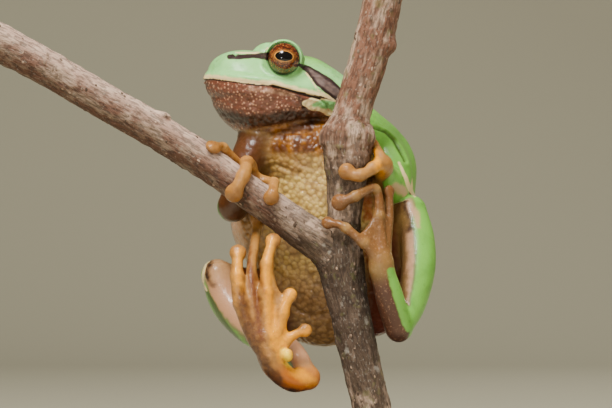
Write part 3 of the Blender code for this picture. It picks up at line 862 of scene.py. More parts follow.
    def right_hand(self) -> list[Form]:
        """Two fingers over the branch's front, one along its top, one behind.

        Returns:
            The forms.
        """
        palm = (-7.1, 2.2, 3.0, 1.1)
        front = digit(
            palm, (-6.9, 1.3, 4.6, 0.85), (-7.4, -0.9, 5.15, 0.8), (-7.6, -3.1, 4.1, 0.8),
            (-8.3, -3.95, 2.6, 0.8), (-8.9, -3.85, 1.5, 0.85),
        )
        inner = digit(
            palm, (-5.6, 2.0, 2.9, 0.8), (-4.4, 1.2, 2.7, 0.65), (-4.05, -0.9, 2.65, 0.62),
            (-4.1, -2.9, 1.75, 0.65), (-4.3, -3.45, 1.0, 0.7),
        )
        top = digit(
            palm, (-8.3, 1.6, 4.7, 0.75), (-9.4, 0.4, 6.0, 0.6), (-10.4, -0.7, 7.0, 0.6),
            (-11.2, -1.9, 7.2, 0.55),
        )
        behind = digit(palm, (-5.9, 2.5, 2.0, 0.75), (-5.0, 2.3, 0.9, 0.65), (-4.6, 2.0, 0.3, 0.6))
        return [
            limb((-7.4, 2.8, 2.6, 1.1), (-6.9, 2.1, 3.3, 1.15)),
            front, inner, top, behind,
            *knuckles(front, (0.42, 0.7)), *knuckles(inner, (0.6,)), *knuckles(top, (0.75,)),
            pad(-9.0, -3.75, 1.35, 1.1, (0.1, 1, 0.1)),
            pad(-4.35, -3.4, 0.8, 0.95, (0, 1, 0.2)),
            pad(-11.6, -2.6, 7.1, 0.98, (-0.5, 0.5, -0.8)),
            pad(-4.5, 1.9, 0.1, 0.9, (0, -1, 0.2)),
        ]  # fmt: skip

    def left_hand(self) -> list[Form]:
        """One finger across the stem's front, one up beside the node, two behind.

        Returns:
            The forms.
        """
        palm = (9.5, 0.2, 4.8, 1.15)
        front = digit(
            palm, (8.8, -2.2, 4.8, 0.75), (7.5, -3.4, 3.9, 0.7), (6.3, -3.75, 3.5, 0.7),
            (5.3, -3.6, 3.9, 0.75),
        )
        return [
            limb((9.5, 0.8, 4.5, 1.15), (9.6, -0.3, 5.0, 1.15)),
            front,
            digit(palm, (9.4, -0.9, 5.7, 0.7), (9.0, -0.1, 6.6, 0.6), (8.7, 1.1, 7.1, 0.55)),
            digit(palm, (9.2, 2.4, 4.6, 0.7), (7.6, 3.6, 4.2, 0.65), (5.9, 3.9, 4.1, 0.6)),
            digit(palm, (9.4, 2.0, 3.4, 0.7), (8.1, 3.2, 2.3, 0.6), (6.6, 3.6, 1.8, 0.6)),
            *knuckles(front, (0.35, 0.65)),
            pad(5.1, -3.5, 4.05, 1.0, (0, 1, 0.1)),
            pad(8.6, 1.5, 7.2, 0.85, (-1, 0.1, 0)),
            pad(5.5, 3.9, 4.1, 0.9, (0, -1, 0)),
            pad(6.2, 3.6, 1.7, 0.9, (-0.2, -1, 0)),
        ]

    def right_foot(self) -> list[Form]:
        """The dangling foot, sole to the viewer: five toes in a fan with webs, and the heel tubercle.

        Returns:
            The forms.
        """
        heel = (-4.5, -6.9, -19.0, 1.3)
        fifth = digit(
            heel, (-6.4, -7.0, -16.6, 1.1), (-8.1, -6.8, -12.4, 0.95), (-8.6, -6.3, -9.1, 0.8),
            (-8.55, -5.5, -6.6, 0.65),
        )
        fourth = digit(
            heel, (-5.9, -7.0, -15.6, 1.0), (-6.7, -6.5, -11.5, 0.75), (-6.8, -5.0, -8.0, 0.65),
            (-6.4, -1.6, -4.8, 0.6), (-6.2, 1.4, -3.5, 0.6), (-6.0, 2.5, -2.3, 0.6),
        )  # fmt: skip
        third = digit(
            heel, (-4.9, -7.1, -15.4, 1.05), (-5.0, -7.0, -11.2, 0.85), (-4.9, -6.6, -7.6, 0.75),
            (-4.3, -5.9, -5.2, 0.65),
        )
        second = digit(heel, (-3.6, -7.1, -16.0, 0.95), (-2.8, -7.1, -13.2, 0.75), (-2.2, -6.9, -11.8, 0.6))
        first = digit(heel, (-3.0, -7.0, -17.6, 0.9), (-1.7, -7.0, -16.5, 0.6), (-0.5, -7.0, -15.9, 0.5))
        return [
            limb((-4.2, -6.7, -19.8, 1.4), (-5.0, -7.0, -16.8, 1.5)),
            fifth, fourth, third, second, first,
            *knuckles(fifth, (0.5, 0.76)), *knuckles(third, (0.52, 0.77)), *knuckles(second, (0.66,)),
            pad(-8.5, -5.2, -6.1, 1.0, (0, 1, -0.3)),
            pad(-6.0, 2.5, -1.9, 0.95, (0, -1, 0.2)),
            pad(-4.1, -5.6, -4.6, 0.92, (0, 1, -0.2)),
            pad(-2.0, -6.8, -11.4, 0.85, (0, 1, -0.2)),
            pad(-0.1, -7.0, -15.8, 0.8, (0.2, 1, 0)),
            Ellipsoid(at(-2.3, -7.9, -18.9), (0.7, 0.6, 0.8), soft=0.4),
            *web(fifth, fourth, 0.6), *web(fourth, third, 0.5), *web(third, second, 0.8),
            *web(second, first, 0.55),
        ]  # fmt: skip

    def left_foot(self) -> list[Form]:
        """The gripping foot: a toe across the fork, the long one up and round, one beside it, two behind.

        Returns:
            The forms.
        """
        heel = (9.4, -3.2, -7.4, 1.3)
        third = digit(
            heel, (8.0, -3.9, -5.6, 0.7), (6.75, -4.1, -4.5, 0.6), (5.5, -4.0, -3.4, 0.57),
            (4.25, -3.7, -2.6, 0.53),
            (2.9, -3.3, -2.4, 0.5),
        )  # fmt: skip
        fourth = digit(
            heel, (9.4, -3.1, -4.6, 0.7), (9.1, -2.6, -1.4, 0.6), (9.0, -2.2, 1.2, 0.57),
            (8.3, -2.7, 2.0, 0.57),
            (7.0, -3.6, 1.4, 0.6), (5.6, -3.9, 0.7, 0.62), (4.5, -3.7, 0.3, 0.65),
        )  # fmt: skip
        fifth = digit(heel, (10.1, -2.2, -4.6, 0.65), (10.4, -1.2, -1.6, 0.55), (10.4, -0.8, 1.0, 0.5))
        second = digit(heel, (8.8, -1.2, -6.0, 0.65), (8.4, 1.2, -5.0, 0.55), (7.4, 3.0, -4.4, 0.5))
        first = digit(heel, (8.9, -1.6, -7.4, 0.65), (8.6, 0.4, -7.8, 0.5))
        return [
            limb((9.4, -3.2, -8.0, 1.35), (9.4, -3.3, -6.8, 1.2)),
            third, fourth, fifth, second, first,
            *knuckles(third, (0.35, 0.7), 0.07), *knuckles(fourth, (0.3, 0.52, 0.8), 0.07),
            pad(2.7, -3.25, -2.35, 0.75, (0, 1, -0.2)),
            pad(4.2, -3.6, 0.2, 1.0, (0.1, 1, 0)),
            pad(10.4, -0.8, 1.6, 0.72, (-0.6, 0.8, 0)),
            pad(7.0, 3.3, -4.3, 0.8, (-0.6, -0.8, 0)),
            pad(8.5, 0.8, -7.9, 0.75, (-1, 0, 0)),
            *web(third, fourth, 0.42, 0.75), *web(fourth, fifth, 0.5), *web(second, third, 0.3, strands=6),
        ]  # fmt: skip


@dataclass(frozen=True)
class Crease:
    """A fold or line in the skin, along places as seen from the front.

    Args:
        places: x and z of its stations, in the plane of the stem.
        depth: how far it sinks; below 0, it rises.
        width: how wide it is.
        on_limb: whether it runs over a limb too, and not only over the trunk and head.
    """

    places: tuple[tuple[float, float], ...]
    depth: float
    width: float
    on_limb: bool = False


CREASES = (
    Crease(
        ((-9.6, 9.0), (-8.2, 9.2), (-5.8, 9.5), (-3.2, 10.1), (-0.7, 10.3), (1.75, 10.5), (2.9, 10.5)), 0.4,
        0.34,
    ),
    Crease(((-9.9, 10.6), (-8.0, 10.5), (-5.0, 10.9), (-2.0, 11.4), (0.6, 11.8)), 0.16, 0.24),
    Crease(((-10.9, 12.4), (-8.5, 12.2), (-5.5, 12.6), (-3.0, 13.1)), 0.12, 0.22),
    Crease(((-6.0, 8.3), (-4.0, 8.6), (-1.2, 9.0), (1.2, 8.9)), 0.14, 0.3),
    Crease(((-5.9, 4.6), (-3.6, 4.9), (-1.5, 4.0), (1.5, 3.4)), 0.16, 0.26),
    Crease(((-5.2, 2.8), (-2.8, 3.2), (0.0, 2.2), (1.9, 2.2)), 0.14, 0.24),
    Crease(((-3.4, 1.2), (-1.5, 1.2), (0.6, 0.4)), 0.12, 0.22),
    Crease(((8.4, 9.6), (10.0, 9.0), (11.0, 8.0), (11.6, 6.9), (12.4, 5.4)), 0.34, 0.26, on_limb=True),
    Crease(((-2.4, -12.2), (-1.2, -13.2), (0.6, -14.0), (2.75, -13.7)), 0.28, 0.3),
    Crease(((-3.2, -7.0), (-1.6, -8.2), (0.6, -8.9), (2.2, -8.8)), 0.1, 0.3),
)
MOUTH_CORNER_FOLD = ((-5.0, -1.45), (-5.9, -2.1), (-6.6, -3.0))
BROW_FOLD = ((-2.5, 4.6, 3.4), (-3.6, 5.0, 2.75), (-4.9, 5.3, 2.1), (-6.2, 5.5, 0.8), (-7.0, 5.7, -0.6))
NOSTRIL_PLACE = (5.6, 2.45, 3.0)
EAR_PLACE = (-4.6, 6.3, 0.6)


@dataclass(frozen=True)
class Mark:
    """A marking painted on the skin as seen from the front, in the plane of the stem.

    Args:
        tone: the attribute that holds how far inside it a point lies.
        parts: the parts that take it.
        places: x, z and half the width at its stations.
    """

    tone: str
    parts: str
    places: tuple[Triple, ...]

    def inside(self, x: Array, z: Array) -> Array:
        """How far inside the marking each point lies; below 0 it lies outside.

        Args:
            x: each point's place across, as seen.
            z: its height, as seen.

        Returns:
            One distance for each point.
        """
        best = np.full(len(x), -3.0)
        for (x0, z0, half0), (x1, z1, half1) in zip(self.places[:-1], self.places[1:]):
            dx, dz = x1 - x0, z1 - z0
            share = np.clip(((x - x0) * dx + (z - z0) * dz) / (dx * dx + dz * dz), 0, 1)
            away = np.hypot(x - x0 - share * dx, z - z0 - share * dz)
            np.maximum(best, half0 + share * (half1 - half0) - away, out=best)
        return best


MARKS = (
    Mark("stripe", "skull trunk", ((-9.6, 18.4, 0.27), (-8.2, 18.4, 0.28), (-6.8, 18.5, 0.25),
        (-5.9, 18.5, 0.33), (-5.0, 18.5, 0.5), (-4.5, 18.4, 0.52))),
    Mark("stripe", "skull trunk", ((-0.8, 17.4, 0.19), (0.3, 16.8, 0.45), (1.1, 16.1, 0.65),
        (1.9, 15.4, 0.81), (2.8, 14.7, 0.85), (3.9, 13.8, 0.80), (5.0, 12.9, 0.75), (6.2, 11.8, 0.50))),
    # painted highlight: a pale line along the lit lower lip
    Mark("blush", "skull", ((-7.0, 14.4, 0.09), (-5.1, 14.2, 0.11), (-3.2, 13.9, 0.11),
        (-1.5, 13.6, 0.09))),
    Mark("cream", "skull", ((-8.8, 18.9, 0.09), (-7.2, 18.9, 0.09), (-6.2, 18.9, 0.10),
        (-5.2, 19.2, 0.10), (-4.8, 19.5, 0.07))),
    Mark("cream", "skull trunk", ((-0.1, 12.6, 0.38), (0.8, 12.5, 0.78), (2.0, 12.4, 0.80),
        (3.0, 12.0, 1.00), (4.5, 11.1, 1.00))),
    Mark("leaf", "skull trunk", ((1.0, 12.4, 0.25), (1.8, 12.5, 0.47), (2.9, 12.4, 0.55),
        (4.5, 11.8, 0.75))),
    # painted shade in the fold behind the mouth's corner
    Mark("umber", "skull", ((-1.1, 13.5, 0.12), (-0.6, 12.6, 0.25), (-0.1, 11.8, 0.33),
        (0.5, 11.1, 0.30), (1.5, 11.1, 0.25))),
    # painted shade on the underside of the throat
    Mark("umber", "skull", ((-11.0, 11.6, 0.38), (-9.2, 10.8, 0.62), (-7.0, 10.4, 0.75),
        (-4.5, 10.6, 0.75), (-2.0, 11.0, 0.75), (0.5, 10.9, 0.50), (2.8, 10.5, 0.38))),
    Mark("blush", "trunk", ((-9.4, -1.0, 0.75), (-8.9, -3.9, 1.00), (-8.2, -7.2, 0.75))),
    # painted shade just below the throat's fold
    Mark("umber", "trunk", ((-8.2, 9.9, 0.3), (-5.5, 10.1, 0.35), (-2.0, 10.3, 0.45), (1.5, 10.4, 0.45))),
    # painted shade on the chest's side under the throat and the right arm
    Mark("brown", "trunk upper_arm_r", ((-8.4, 9.2, 0.8), (-8.0, 6.8, 1.0), (-7.6, 3.6, 1.0))),
    Mark("cream", "skull", ((0.0, 16.4, 0.08), (0.8, 15.3, 0.11), (1.4, 14.3, 0.11), (2.4, 13.7, 0.08))),
    Mark("glow", "trunk thigh_l", ((7.5, 1.5, 0.62), (7.6, -0.1, 0.75), (7.8, -1.5, 0.62))),
    Mark("glow", "thigh_l trunk", ((7.8, -5.2, 0.75), (8.1, -7.2, 0.69), (8.4, -9.5, 0.50))),
    # painted shade under the fold above the left arm
    Mark("deep", "upper_arm_l trunk", ((8.4, 9.6, 0.10), (10.0, 9.0, 0.18), (11.0, 8.0, 0.22),
        (11.6, 6.9, 0.18), (12.4, 5.4, 0.10))),
    Mark("cream", "upper_arm_l trunk shank_l", ((11.6, 5.2, 0.12), (12.4, 3.4, 0.24), (13.0, 1.8, 0.28),
        (13.6, 1.0, 0.15))),
    Mark("bare", "upper_arm_l forearm_l", ((11.2, 2.0, 0.55), (12.0, 1.7, 0.62), (12.5, 1.1, 0.45))),
    Mark("amber", "forearm_l hand_l", ((8.5, 6.5, 0.40), (9.0, 5.0, 0.40), (9.4, 3.8, 0.50))),
    Mark("bare", "shank_l thigh_l", ((12.9, 0.0, 0.31), (13.4, -0.8, 0.50), (13.9, -1.8, 0.38),
        (14.0, -2.8, 0.25))),
    Mark("umber", "shank_l thigh_l", ((12.3, 0.3, 0.15), (12.6, -0.9, 0.3), (13.1, -1.8, 0.25),
        (13.3, -2.7, 0.3), (12.7, -3.4, 0.2))),
    # painted shade along the right shank's lower side
    Mark("deep", "shank_r", ((-12.5, -10.7, 0.15), (-11.7, -12.3, 0.25), (-10.6, -14.4, 0.3),
        (-9.4, -16.1, 0.35), (-8.1, -17.6, 0.3))),
    Mark("blush", "shank_l", ((13.0, -3.8, 0.50), (13.2, -6.2, 0.53), (13.2, -9.1, 0.50),
        (13.1, -12.1, 0.42), (13.5, -14.1, 0.30))),
    Mark("leaf", "tarsus_l", ((10.4, -7.4, 0.40), (10.7, -8.8, 0.50), (11.3, -10.8, 0.57),
        (12.0, -12.8, 0.68), (12.6, -14.8, 0.62), (12.8, -15.8, 0.25))),
    Mark("cream", "shank_r", ((-11.5, -6.5, 0.11), (-12.5, -7.4, 0.14), (-12.9, -8.8, 0.14),
        (-12.9, -10.1, 0.15), (-12.4, -10.8, 0.10))),
    Mark("umber", "shank_r", ((-11.9, -7.2, 0.30), (-12.3, -8.2, 0.33), (-12.3, -9.5, 0.30),
        (-11.5, -10.1, 0.20))),
    Mark("brown", "foot_r tarsus_r", ((-8.2, -10.5, 0.4), (-7.8, -13.0, 0.7), (-7.0, -16.1, 0.8),
        (-6.2, -18.4, 0.8), (-5.0, -20.4, 0.75), (-3.4, -22.1, 0.65))),
    Mark("umber", "foot_r tarsus_r", ((-4.6, -21.6, 0.2), (-3.0, -22.9, 0.35), (-1.2, -23.6, 0.35),
        (0.6, -23.5, 0.2))),
    Mark("rust", "foot_r", ((-7.1, -4.2, 0.20), (-7.1, -7.0, 0.28), (-6.8, -9.5, 0.42),
        (-6.2, -12.0, 0.50), (-5.9, -14.8, 0.50), (-5.5, -17.0, 0.38))),
    Mark("rust", "foot_r", ((-6.0, -6.4, 0.15), (-5.8, -8.9, 0.20), (-5.2, -11.0, 0.25))),
    Mark("amber", "foot_r", ((-4.4, -4.5, 0.38), (-4.8, -6.8, 0.50), (-4.9, -9.5, 0.57),
        (-4.6, -12.5, 0.62), (-4.2, -14.8, 0.81), (-3.4, -17.2, 1.06), (-2.4, -19.2, 1.00))),
    Mark("amber", "foot_r", ((-1.8, -10.8, 0.62), (-2.6, -13.0, 0.62), (-2.8, -15.2, 0.75),
        (-1.8, -16.8, 0.75), (0.2, -15.9, 0.50))),
    Mark("amber", "foot_r", ((-8.5, -6.0, 0.45), (-8.5, -8.9, 0.45), (-8.1, -10.8, 0.38))),
    Mark("amber", "tarsus_r foot_r", ((-2.0, -20.0, 0.62), (-0.8, -21.2, 0.75), (0.6, -22.1, 0.62))),
    Mark("gold", "foot_r tarsus_r", ((-2.6, -18.6, 0.55), (-2.1, -19.6, 0.70))),
)  # fmt: skip
SOFT_TONES = ("blush", "umber", "brown", "rust", "glow", "amber", "gold")
TONES = (*SOFT_TONES, "stripe", "cream", "leaf", "line", "deep", "bare")


def near_path(points: Array, path: Array) -> Array:
    """How far each point lies from a path through the stations.

    Args:
        points: the places, one a row.
        path: the stations, one a row.

    Returns:
        One distance for each point.
    """
    nearest = np.full(len(points), np.inf)
    for start, stop in zip(path[:-1], path[1:]):
        along = stop - start
        share = np.clip((points - start) @ along / (along @ along), 0, 1)
        np.minimum(nearest, np.linalg.norm(points - start - share[:, None] * along, axis=1), out=nearest)
    return nearest


def furrow(away: Array, depth: float, width: float) -> Array:
    """The depth of a groove with raised banks, at a distance from its middle."""
    banks = 0.3 * np.exp(-(((away - 2.1 * width) / width) ** 2))
    return depth * (np.exp(-((away / width) ** 2)) - banks)


@dataclass
class Skin:
    """The frog's one skin: its mesh, relief and markings.

    Args:
        anatomy: the forms that it covers.
        voxel: how fine its faces are.
        fine_reach: how far from the mouth, lids and nostrils the faces are divided once more.
        granule: how far apart the granules of belly and throat stand.
        granule_rise: how high they are.
        border: how wide the border between two parts is.
        unevenness: how far the trunk's surface rises and sinks.
        brow_rise: how high the fold behind the eye is.
        nostril: how wide a nostril is.
        nostril_rim: how far out its rim lies.
        ear_rim: how far out the rim of the eardrum lies.
    """

    anatomy: Anatomy
    voxel: float = 0.252
    fine_reach: float = 0.5
    granule: float = 0.72
    granule_rise: float = 0.075
    border: float = 0.3
    unevenness: float = 0.05
    brow_rise: float = 0.16
    nostril: float = 0.2
    nostril_rim: float = 0.42
    ear_rim: float = 0.95
    NODES = ("head", "torso") + tuple(
        f"{part}_{side}"
        for part in ("upper_arm", "forearm", "hand", "thigh", "shank", "tarsus", "foot")
        for side in ("l", "r")
    )

    def __post_init__(self) -> None:
        """Joins the forms and finds the line of the mouth."""
        self.body = self.anatomy.body()
        self.front = Blend(self.anatomy.groups["trunk"] + self.anatomy.groups["skull"])
        self.mouths = {side: self.mouth_path(side) for side in Side}

    def build(self) -> bpy.types.Object:
        """Makes the mesh with its relief and markings, in the frame's metres.

        Returns:
            The skin.
        """
        LOG.info("frog_skin: %d forms", len(self.body.forms))
        obj = self.body.meshed("frog_skin", self.voxel)
        self.refine(obj)
        points = self.body.settle(read_points(obj), rounds=2)
        write_points(obj, points)
        normals = read_normals(obj)
        shares = self.part_shares(points)
        grain = self.grain(points, shares)
        write_points(obj, points + normals * self.relief(points, shares, grain)[:, None])
        markings = Markings(points, normals, shares, self.mouths[Side.LEFT], self.body.forms)
        for name, values in markings.measure().items():
            write_attribute(obj, name, values)
        write_attribute(obj, "grain", grain)
        write_points(obj, to_world(read_points(obj)))
        return smoothed(obj)

    def dress(self, obj: bpy.types.Object) -> None:
        """Gives the skin its material."""
        skin_shader().paint(obj)

    def refine(self, obj: bpy.types.Object) -> None:
        """Divides the faces along the mouth, round the eyes and at the nostrils.

        Args:
            obj: the skin.
        """
        points = read_points(obj)
        away = np.full(len(points), FAR)
        for side in Side:
            np.minimum(away, near_path(points, self.mouths[side]), out=away)
            forward, left, up = NOSTRIL_PLACE
            spot = in_head(forward, side * left, up)
            np.minimum(away, np.linalg.norm(points - spot, axis=1) - self.nostril, out=away)
            middle, outward = eye_frame(side)
            local = points - middle
            height = local @ outward
            across = np.linalg.norm(local - height[:, None] * outward, axis=1)
            np.minimum(away, np.hypot(across - 2.25, height - 0.5), out=away)
        mesh = bmesh.new()
        mesh.from_mesh(obj.data)
        mesh.verts.ensure_lookup_table()
        chosen = away < self.fine_reach
        edges = [edge for edge in mesh.edges if all(chosen[vert.index] for vert in edge.verts)]
        bmesh.ops.subdivide_edges(mesh, edges=edges, cuts=1, use_grid_fill=True)
        bmesh.ops.triangulate(mesh, faces=[face for face in mesh.faces if len(face.verts) > 4])
        mesh.to_mesh(obj.data)
        mesh.free()

    def mouth_path(self, side: Side) -> Array:
        """The line of the mouth from the snout's tip to its corner.

        Args:
            side: which side of the head.

        Returns:
            The stations, one a row.
        """
        inward = head_axes() @ np.array((0.0, -side, 0.0))
        nose = self.front.touch([in_head(9.6, 0, -0.4)], -head_axes()[:, 0])
        stations = [(forward, float(mouth_height(forward))) for forward in np.linspace(8.0, -5.0, 22)]
        stations += MOUTH_CORNER_FOLD[1:]
        outside = [in_head(forward, side * 9.0, up) for forward, up in stations]
        return np.concatenate((nose, self.front.touch(outside, inward)))

    def part_shares(self, points: Array) -> dict[str, Array]:
        """How much of each point belongs to each part of the body.

        Args:
            points: the skin's points.

        Returns:
            By part, a share from 0 to 1 for each point.
        """
        away = {name: Blend(group).distance(points) for name, group in self.anatomy.groups.items()}
        nearest = np.min(list(away.values()), axis=0)
        pull = {name: np.exp(-(values - nearest) / self.border) for name, values in away.items()}
        total = np.sum(list(pull.values()), axis=0)
        return {name: values / total for name, values in pull.items()}

    def grain(self, points: Array, shares: dict[str, Array]) -> Array:
        """How granular the skin is, from 0 on the back and digits to 1 on the belly and throat.

        Args:
            points: the skin's points.
            shares: how much of each belongs to each part.

        Returns:
            One share for each point.
        """
        front = 1 - ease((points - at(*TRUNK_MIDDLE)) @ trunk_axes()[:, 1], -2.6, -0.8)
        head = head_coordinates(points)
        below = 1 - ease(head[:, 2] - mouth_height(head[:, 0]), -0.5, 0.1)
        under = shares["thigh_l"] * 0.6 + shares["thigh_r"] * 0.6 + 0.35 * shares["upper_arm_r"]
        return np.clip(shares["trunk"] * front + shares["skull"] * below + under, 0, 1)

    def relief(self, points: Array, shares: dict[str, Array], grain: Array) -> Array:
        """How far each point stands out from the smooth form.

        Args:
            points: the skin's points.
            shares: how much of each belongs to each part.
            grain: how granular the skin is there.

        Returns:
            One height for each point.
        """
        rise = self.unevenness * waves(points, 5.0, 3) * (shares["trunk"] + 0.5 * shares["skull"])
        rise += grain * (self.granule_rise * cell_bumps(points, self.granule, 11) - 0.03)
        rise += (1 - grain) * 0.008 * waves(points, 0.9, 5)
        loose = 1 - ease(points[:, 1], 8.0, 10.0)
        for crease in CREASES:
            path = self.front_path(crease)
            rise -= furrow(near_path(points, path), crease.depth, crease.width) * loose
        for side in Side:
            rise -= furrow(near_path(points, self.mouths[side]), 0.3, 0.15)
            brow = np.array([in_head(forward, side * left, up) for forward, left, up in BROW_FOLD])
            rise += self.brow_rise * np.exp(-((near_path(points, self.body.settle(brow)) / 0.4) ** 2))
            forward, left, up = NOSTRIL_PLACE
            spot = self.body.settle(in_head(forward, side * left, up)[None])[0]
            away = np.linalg.norm(points - spot, axis=1)
            rise += 0.07 * np.exp(-(((away - self.nostril_rim) / 0.16) ** 2))
            rise -= 0.4 * np.exp(-((away / self.nostril) ** 2))
            forward, left, up = EAR_PLACE
            spot = self.body.settle(in_head(forward, side * left, up)[None])[0]
            away = np.linalg.norm(points - spot, axis=1)
            rise += 0.09 * np.exp(-(((away - self.ear_rim) / 0.16) ** 2))
            rise -= 0.07 * (1 - ease(away, 0.7, self.ear_rim))
        return rise

    def front_path(self, crease: Crease) -> Array:
        """A crease's stations, laid on the skin as seen from the front.

        Args:
            crease: the crease.

        Returns:
            The stations, one a row.
        """
        rays = np.array([(x / VIEW_DISTANCE, 1, z / VIEW_DISTANCE) for x, z in crease.places])
        starts = [at(x, -3.0, z) for x, z in crease.places]
        solid = self.body if crease.on_limb else self.front
        return solid.touch(starts, rays / np.linalg.norm(rays, axis=1)[:, None])


@dataclass
class Markings:
    """Where each colour of the skin lies, as distances in millimetres and shares from 0 to 1.

    Args:
        points: the skin's points before its relief.
        normals: the way each faces.
        shares: how much of each belongs to each part.
        mouth: the line of the mouth on the frog's left.
        forms: the forms that the skin covers.
    """

    points: Array
    normals: Array
    shares: dict[str, Array]
    mouth: Array
    forms: list[Form]

    # The way that each limb's green side faces, and how far round the green reaches: 1 is none, -1 is all.
    GREEN_SIDES = {
        "upper_arm_r": ((-0.85, 0.45, -0.6), 0.72),
        "upper_arm_l": ((0.5, -0.75, 0.35), -0.35),
        "forearm_r": ((-0.9, 0.3, -0.2), 0.8),
        "forearm_l": ((0.8, -0.5, -0.2), 0.1),
        "thigh_r": ((-0.5, 0.85, 0.1), 0.3),
        "thigh_l": ((0.5, 0.85, 0.1), 0.3),
        "shank_r": ((-0.95, 0.1, -0.35), 0.72),
        "shank_l": ((0.95, -0.22, 0.1), 0.12),
        "tarsus_l": ((0.9, 0.3, 0.0), 0.75),
        "tarsus_r": ((0.2, 0.6, -0.6), 0.75),
    }
    LIMB_RADIUS = 2.0
    PAD_REACH = (0.8, 1.45)
    JOINT_REACH = (0.4, 0.95)
    # How far back the green begins on the trunk, by height.
    BACK_EDGE = (
        (-18, 4), (-13, 1.5), (-8, 0.2), (-3, -0.5), (1.4, -0.8), (5, -1.75), (10, -2.9), (14, -4)
    )  # fmt: skip
    # Past this x the green's edge leaves the lip for the shoulder.
    LIP_TURN = 0.9
    SHOULDER_EDGE = ((1.75, 13.3), (3.9, 12.5), (9.0, 9.0))

    def __post_init__(self) -> None:
        """Finds each point as seen from the front, with the head's far side folded onto its near one."""
        head = head_coordinates(self.points)
        facing_out = self.normals @ head_axes()
        far = head[:, 1] < 0
        head[far, 1] *= -1
        facing_out[far, 1] *= -1
        self.folded_points = at(*HEAD_MIDDLE) + head @ head_axes().T
        self.folded = self.folded_points[:, ::2] / (1 + self.folded_points[:, 1:2] / VIEW_DISTANCE)
        self.folded_front = ease(-(facing_out @ head_axes().T)[:, 1], -0.35, 0.05)
        self.seen = self.points[:, ::2] / (1 + self.points[:, 1:2] / VIEW_DISTANCE)
        self.front = ease(-self.normals[:, 1], -0.3, 0.1)

    def measure(self) -> dict[str, Array]:
        """Every marking as one number for each point.

        Returns:
            The attributes by name.
        """
        found = {tone: self.tone(tone) for tone in TONES}
        found |= {"green": self.green(), "mint": self.shares["skull"].copy()}
        found["bordered"] = self.shared("skull", "trunk", "upper_arm_l", "thigh_l", "thigh_r")
        # joints holds where the painted highlights on the knuckle swellings lie
        found |= {"pads": self.near(Pad, *self.PAD_REACH), "joints": self.near(Joint, *self.JOINT_REACH)}
        return found | self.grounds()

    def shared(self, *parts: str) -> Array:
        """How much of each point belongs to any of the parts."""
        return sum(self.shares[part] for part in parts)

    def near(self, kind: type, inner: float, outer: float) -> Array:
        """1 within the inner reach of a form of that kind, falling to 0 at the outer one.

        Args:
            kind: the forms' class.
            inner: up to there it is 1.
            outer: from there it is 0.

        Returns:
            One share for each point.
        """
        nearest = np.full(len(self.points), FAR)
        for form in self.forms:
            if isinstance(form, kind):
                np.minimum(nearest, np.linalg.norm(self.points - form.centre, axis=1), out=nearest)
        return 1 - ease(nearest, inner, outer)

    def tone(self, tone: str) -> Array:
        """How far inside the marks of that tone each point lies.

        Args:
            tone: which one.

        Returns:
            One distance for each point, below 0 outside.
        """
        best = np.full(len(self.points), -2.0)
        for mark in MARKS:
            if mark.tone != tone:
                continue
            for part in mark.parts.split():
                on_head = part == "skull"
                x, z = (self.folded if on_head else self.seen).T
                lit = self.folded_front if on_head else self.front
                share = ease(self.shares[part] * lit, 0.2, 0.5)
                np.maximum(best, mark.inside(x, z) * share - 2 * (1 - share), out=best)
        if tone == "line":
            mouth = 0.14 - near_path(self.folded_points, self.mouth[:-2])
            np.maximum(best, np.where(self.shares["skull"] > 0.5, mouth, -2.0), out=best)
        return best

    def green(self) -> Array:
        """How far inside the green each point lies.

        Returns:
            One distance for each point, below 0 outside.
        """
        x, z = self.folded.T
        lip = self.mouth / (1 + self.mouth[:, 1:2] / VIEW_DISTANCE)
        order = np.argsort(lip[:, 0])
        stations = [(place[0], place[2]) for place in lip[order] if place[0] < self.LIP_TURN]
        above = z - np.interp(x, *zip(*stations, *self.SHOULDER_EDGE)) - 0.1
        of_head = np.where(above > 0, above * 0.8, above * 4) - 0.5
        local = (self.points - at(*TRUNK_MIDDLE)) @ trunk_axes()
        of_trunk = local[:, 1] - np.interp(self.points[:, 2], *zip(*self.BACK_EDGE))
        whole = self.shares["skull"] * of_head + self.shares["trunk"] * of_trunk
        for name, share in self.shares.items():
            if name in self.GREEN_SIDES:
                heading, reach = self.GREEN_SIDES[name]
                away = self.normals @ (np.array(heading) / np.linalg.norm(heading)) - reach
                whole += share * away * self.LIMB_RADIUS
            elif name not in ("skull", "trunk"):
                whole -= share * self.LIMB_RADIUS
        return whole

    def grounds(self) -> dict[str, Array]:
        """The share of each ground colour.

        Returns:
            The attributes by name.
        """
        x, _, z = self.points.T
        trunk, skull = self.shares["trunk"], self.shares["skull"]
        # painted shade: the dark chest colour runs down the trunk's side where x is below -3.6
        left = (1 - ease(x, -7.0, -3.6)) * ease(z, -2.5, 2.0)
        folds = CREASES[0].places
        fold = np.interp(self.seen[:, 0], [place for place, _ in folds], [height for _, height in folds])
        below = ease(fold - self.seen[:, 1], 0.0, 0.5) * (self.points[:, 1] < 9.0)
        return {
            "throat": skull * (1 - below),
            "chest": np.clip(1.3 * (trunk * np.maximum(ease(z, 5.2, 7.4), left) + skull * below), 0, 1),
            "flank": trunk * ease(np.abs(x - 2.2), 5.0, 9.0),
            "low": trunk * (1 - ease(z, -12.0, -5.0)),
            "arm": self.shared("upper_arm_r", "upper_arm_l", "forearm_r", "forearm_l"),
            "digit": self.shared("hand_r", "hand_l", "foot_r"),
            "thigh": self.shared("thigh_l", "thigh_r"),
            "pale": self.shares["shank_r"],
            "dark": self.shares["tarsus_l"] + self.shares["shank_l"] * 0.8,
            "toes": self.shares["foot_l"],
            "heel": self.shares["tarsus_r"],
        }


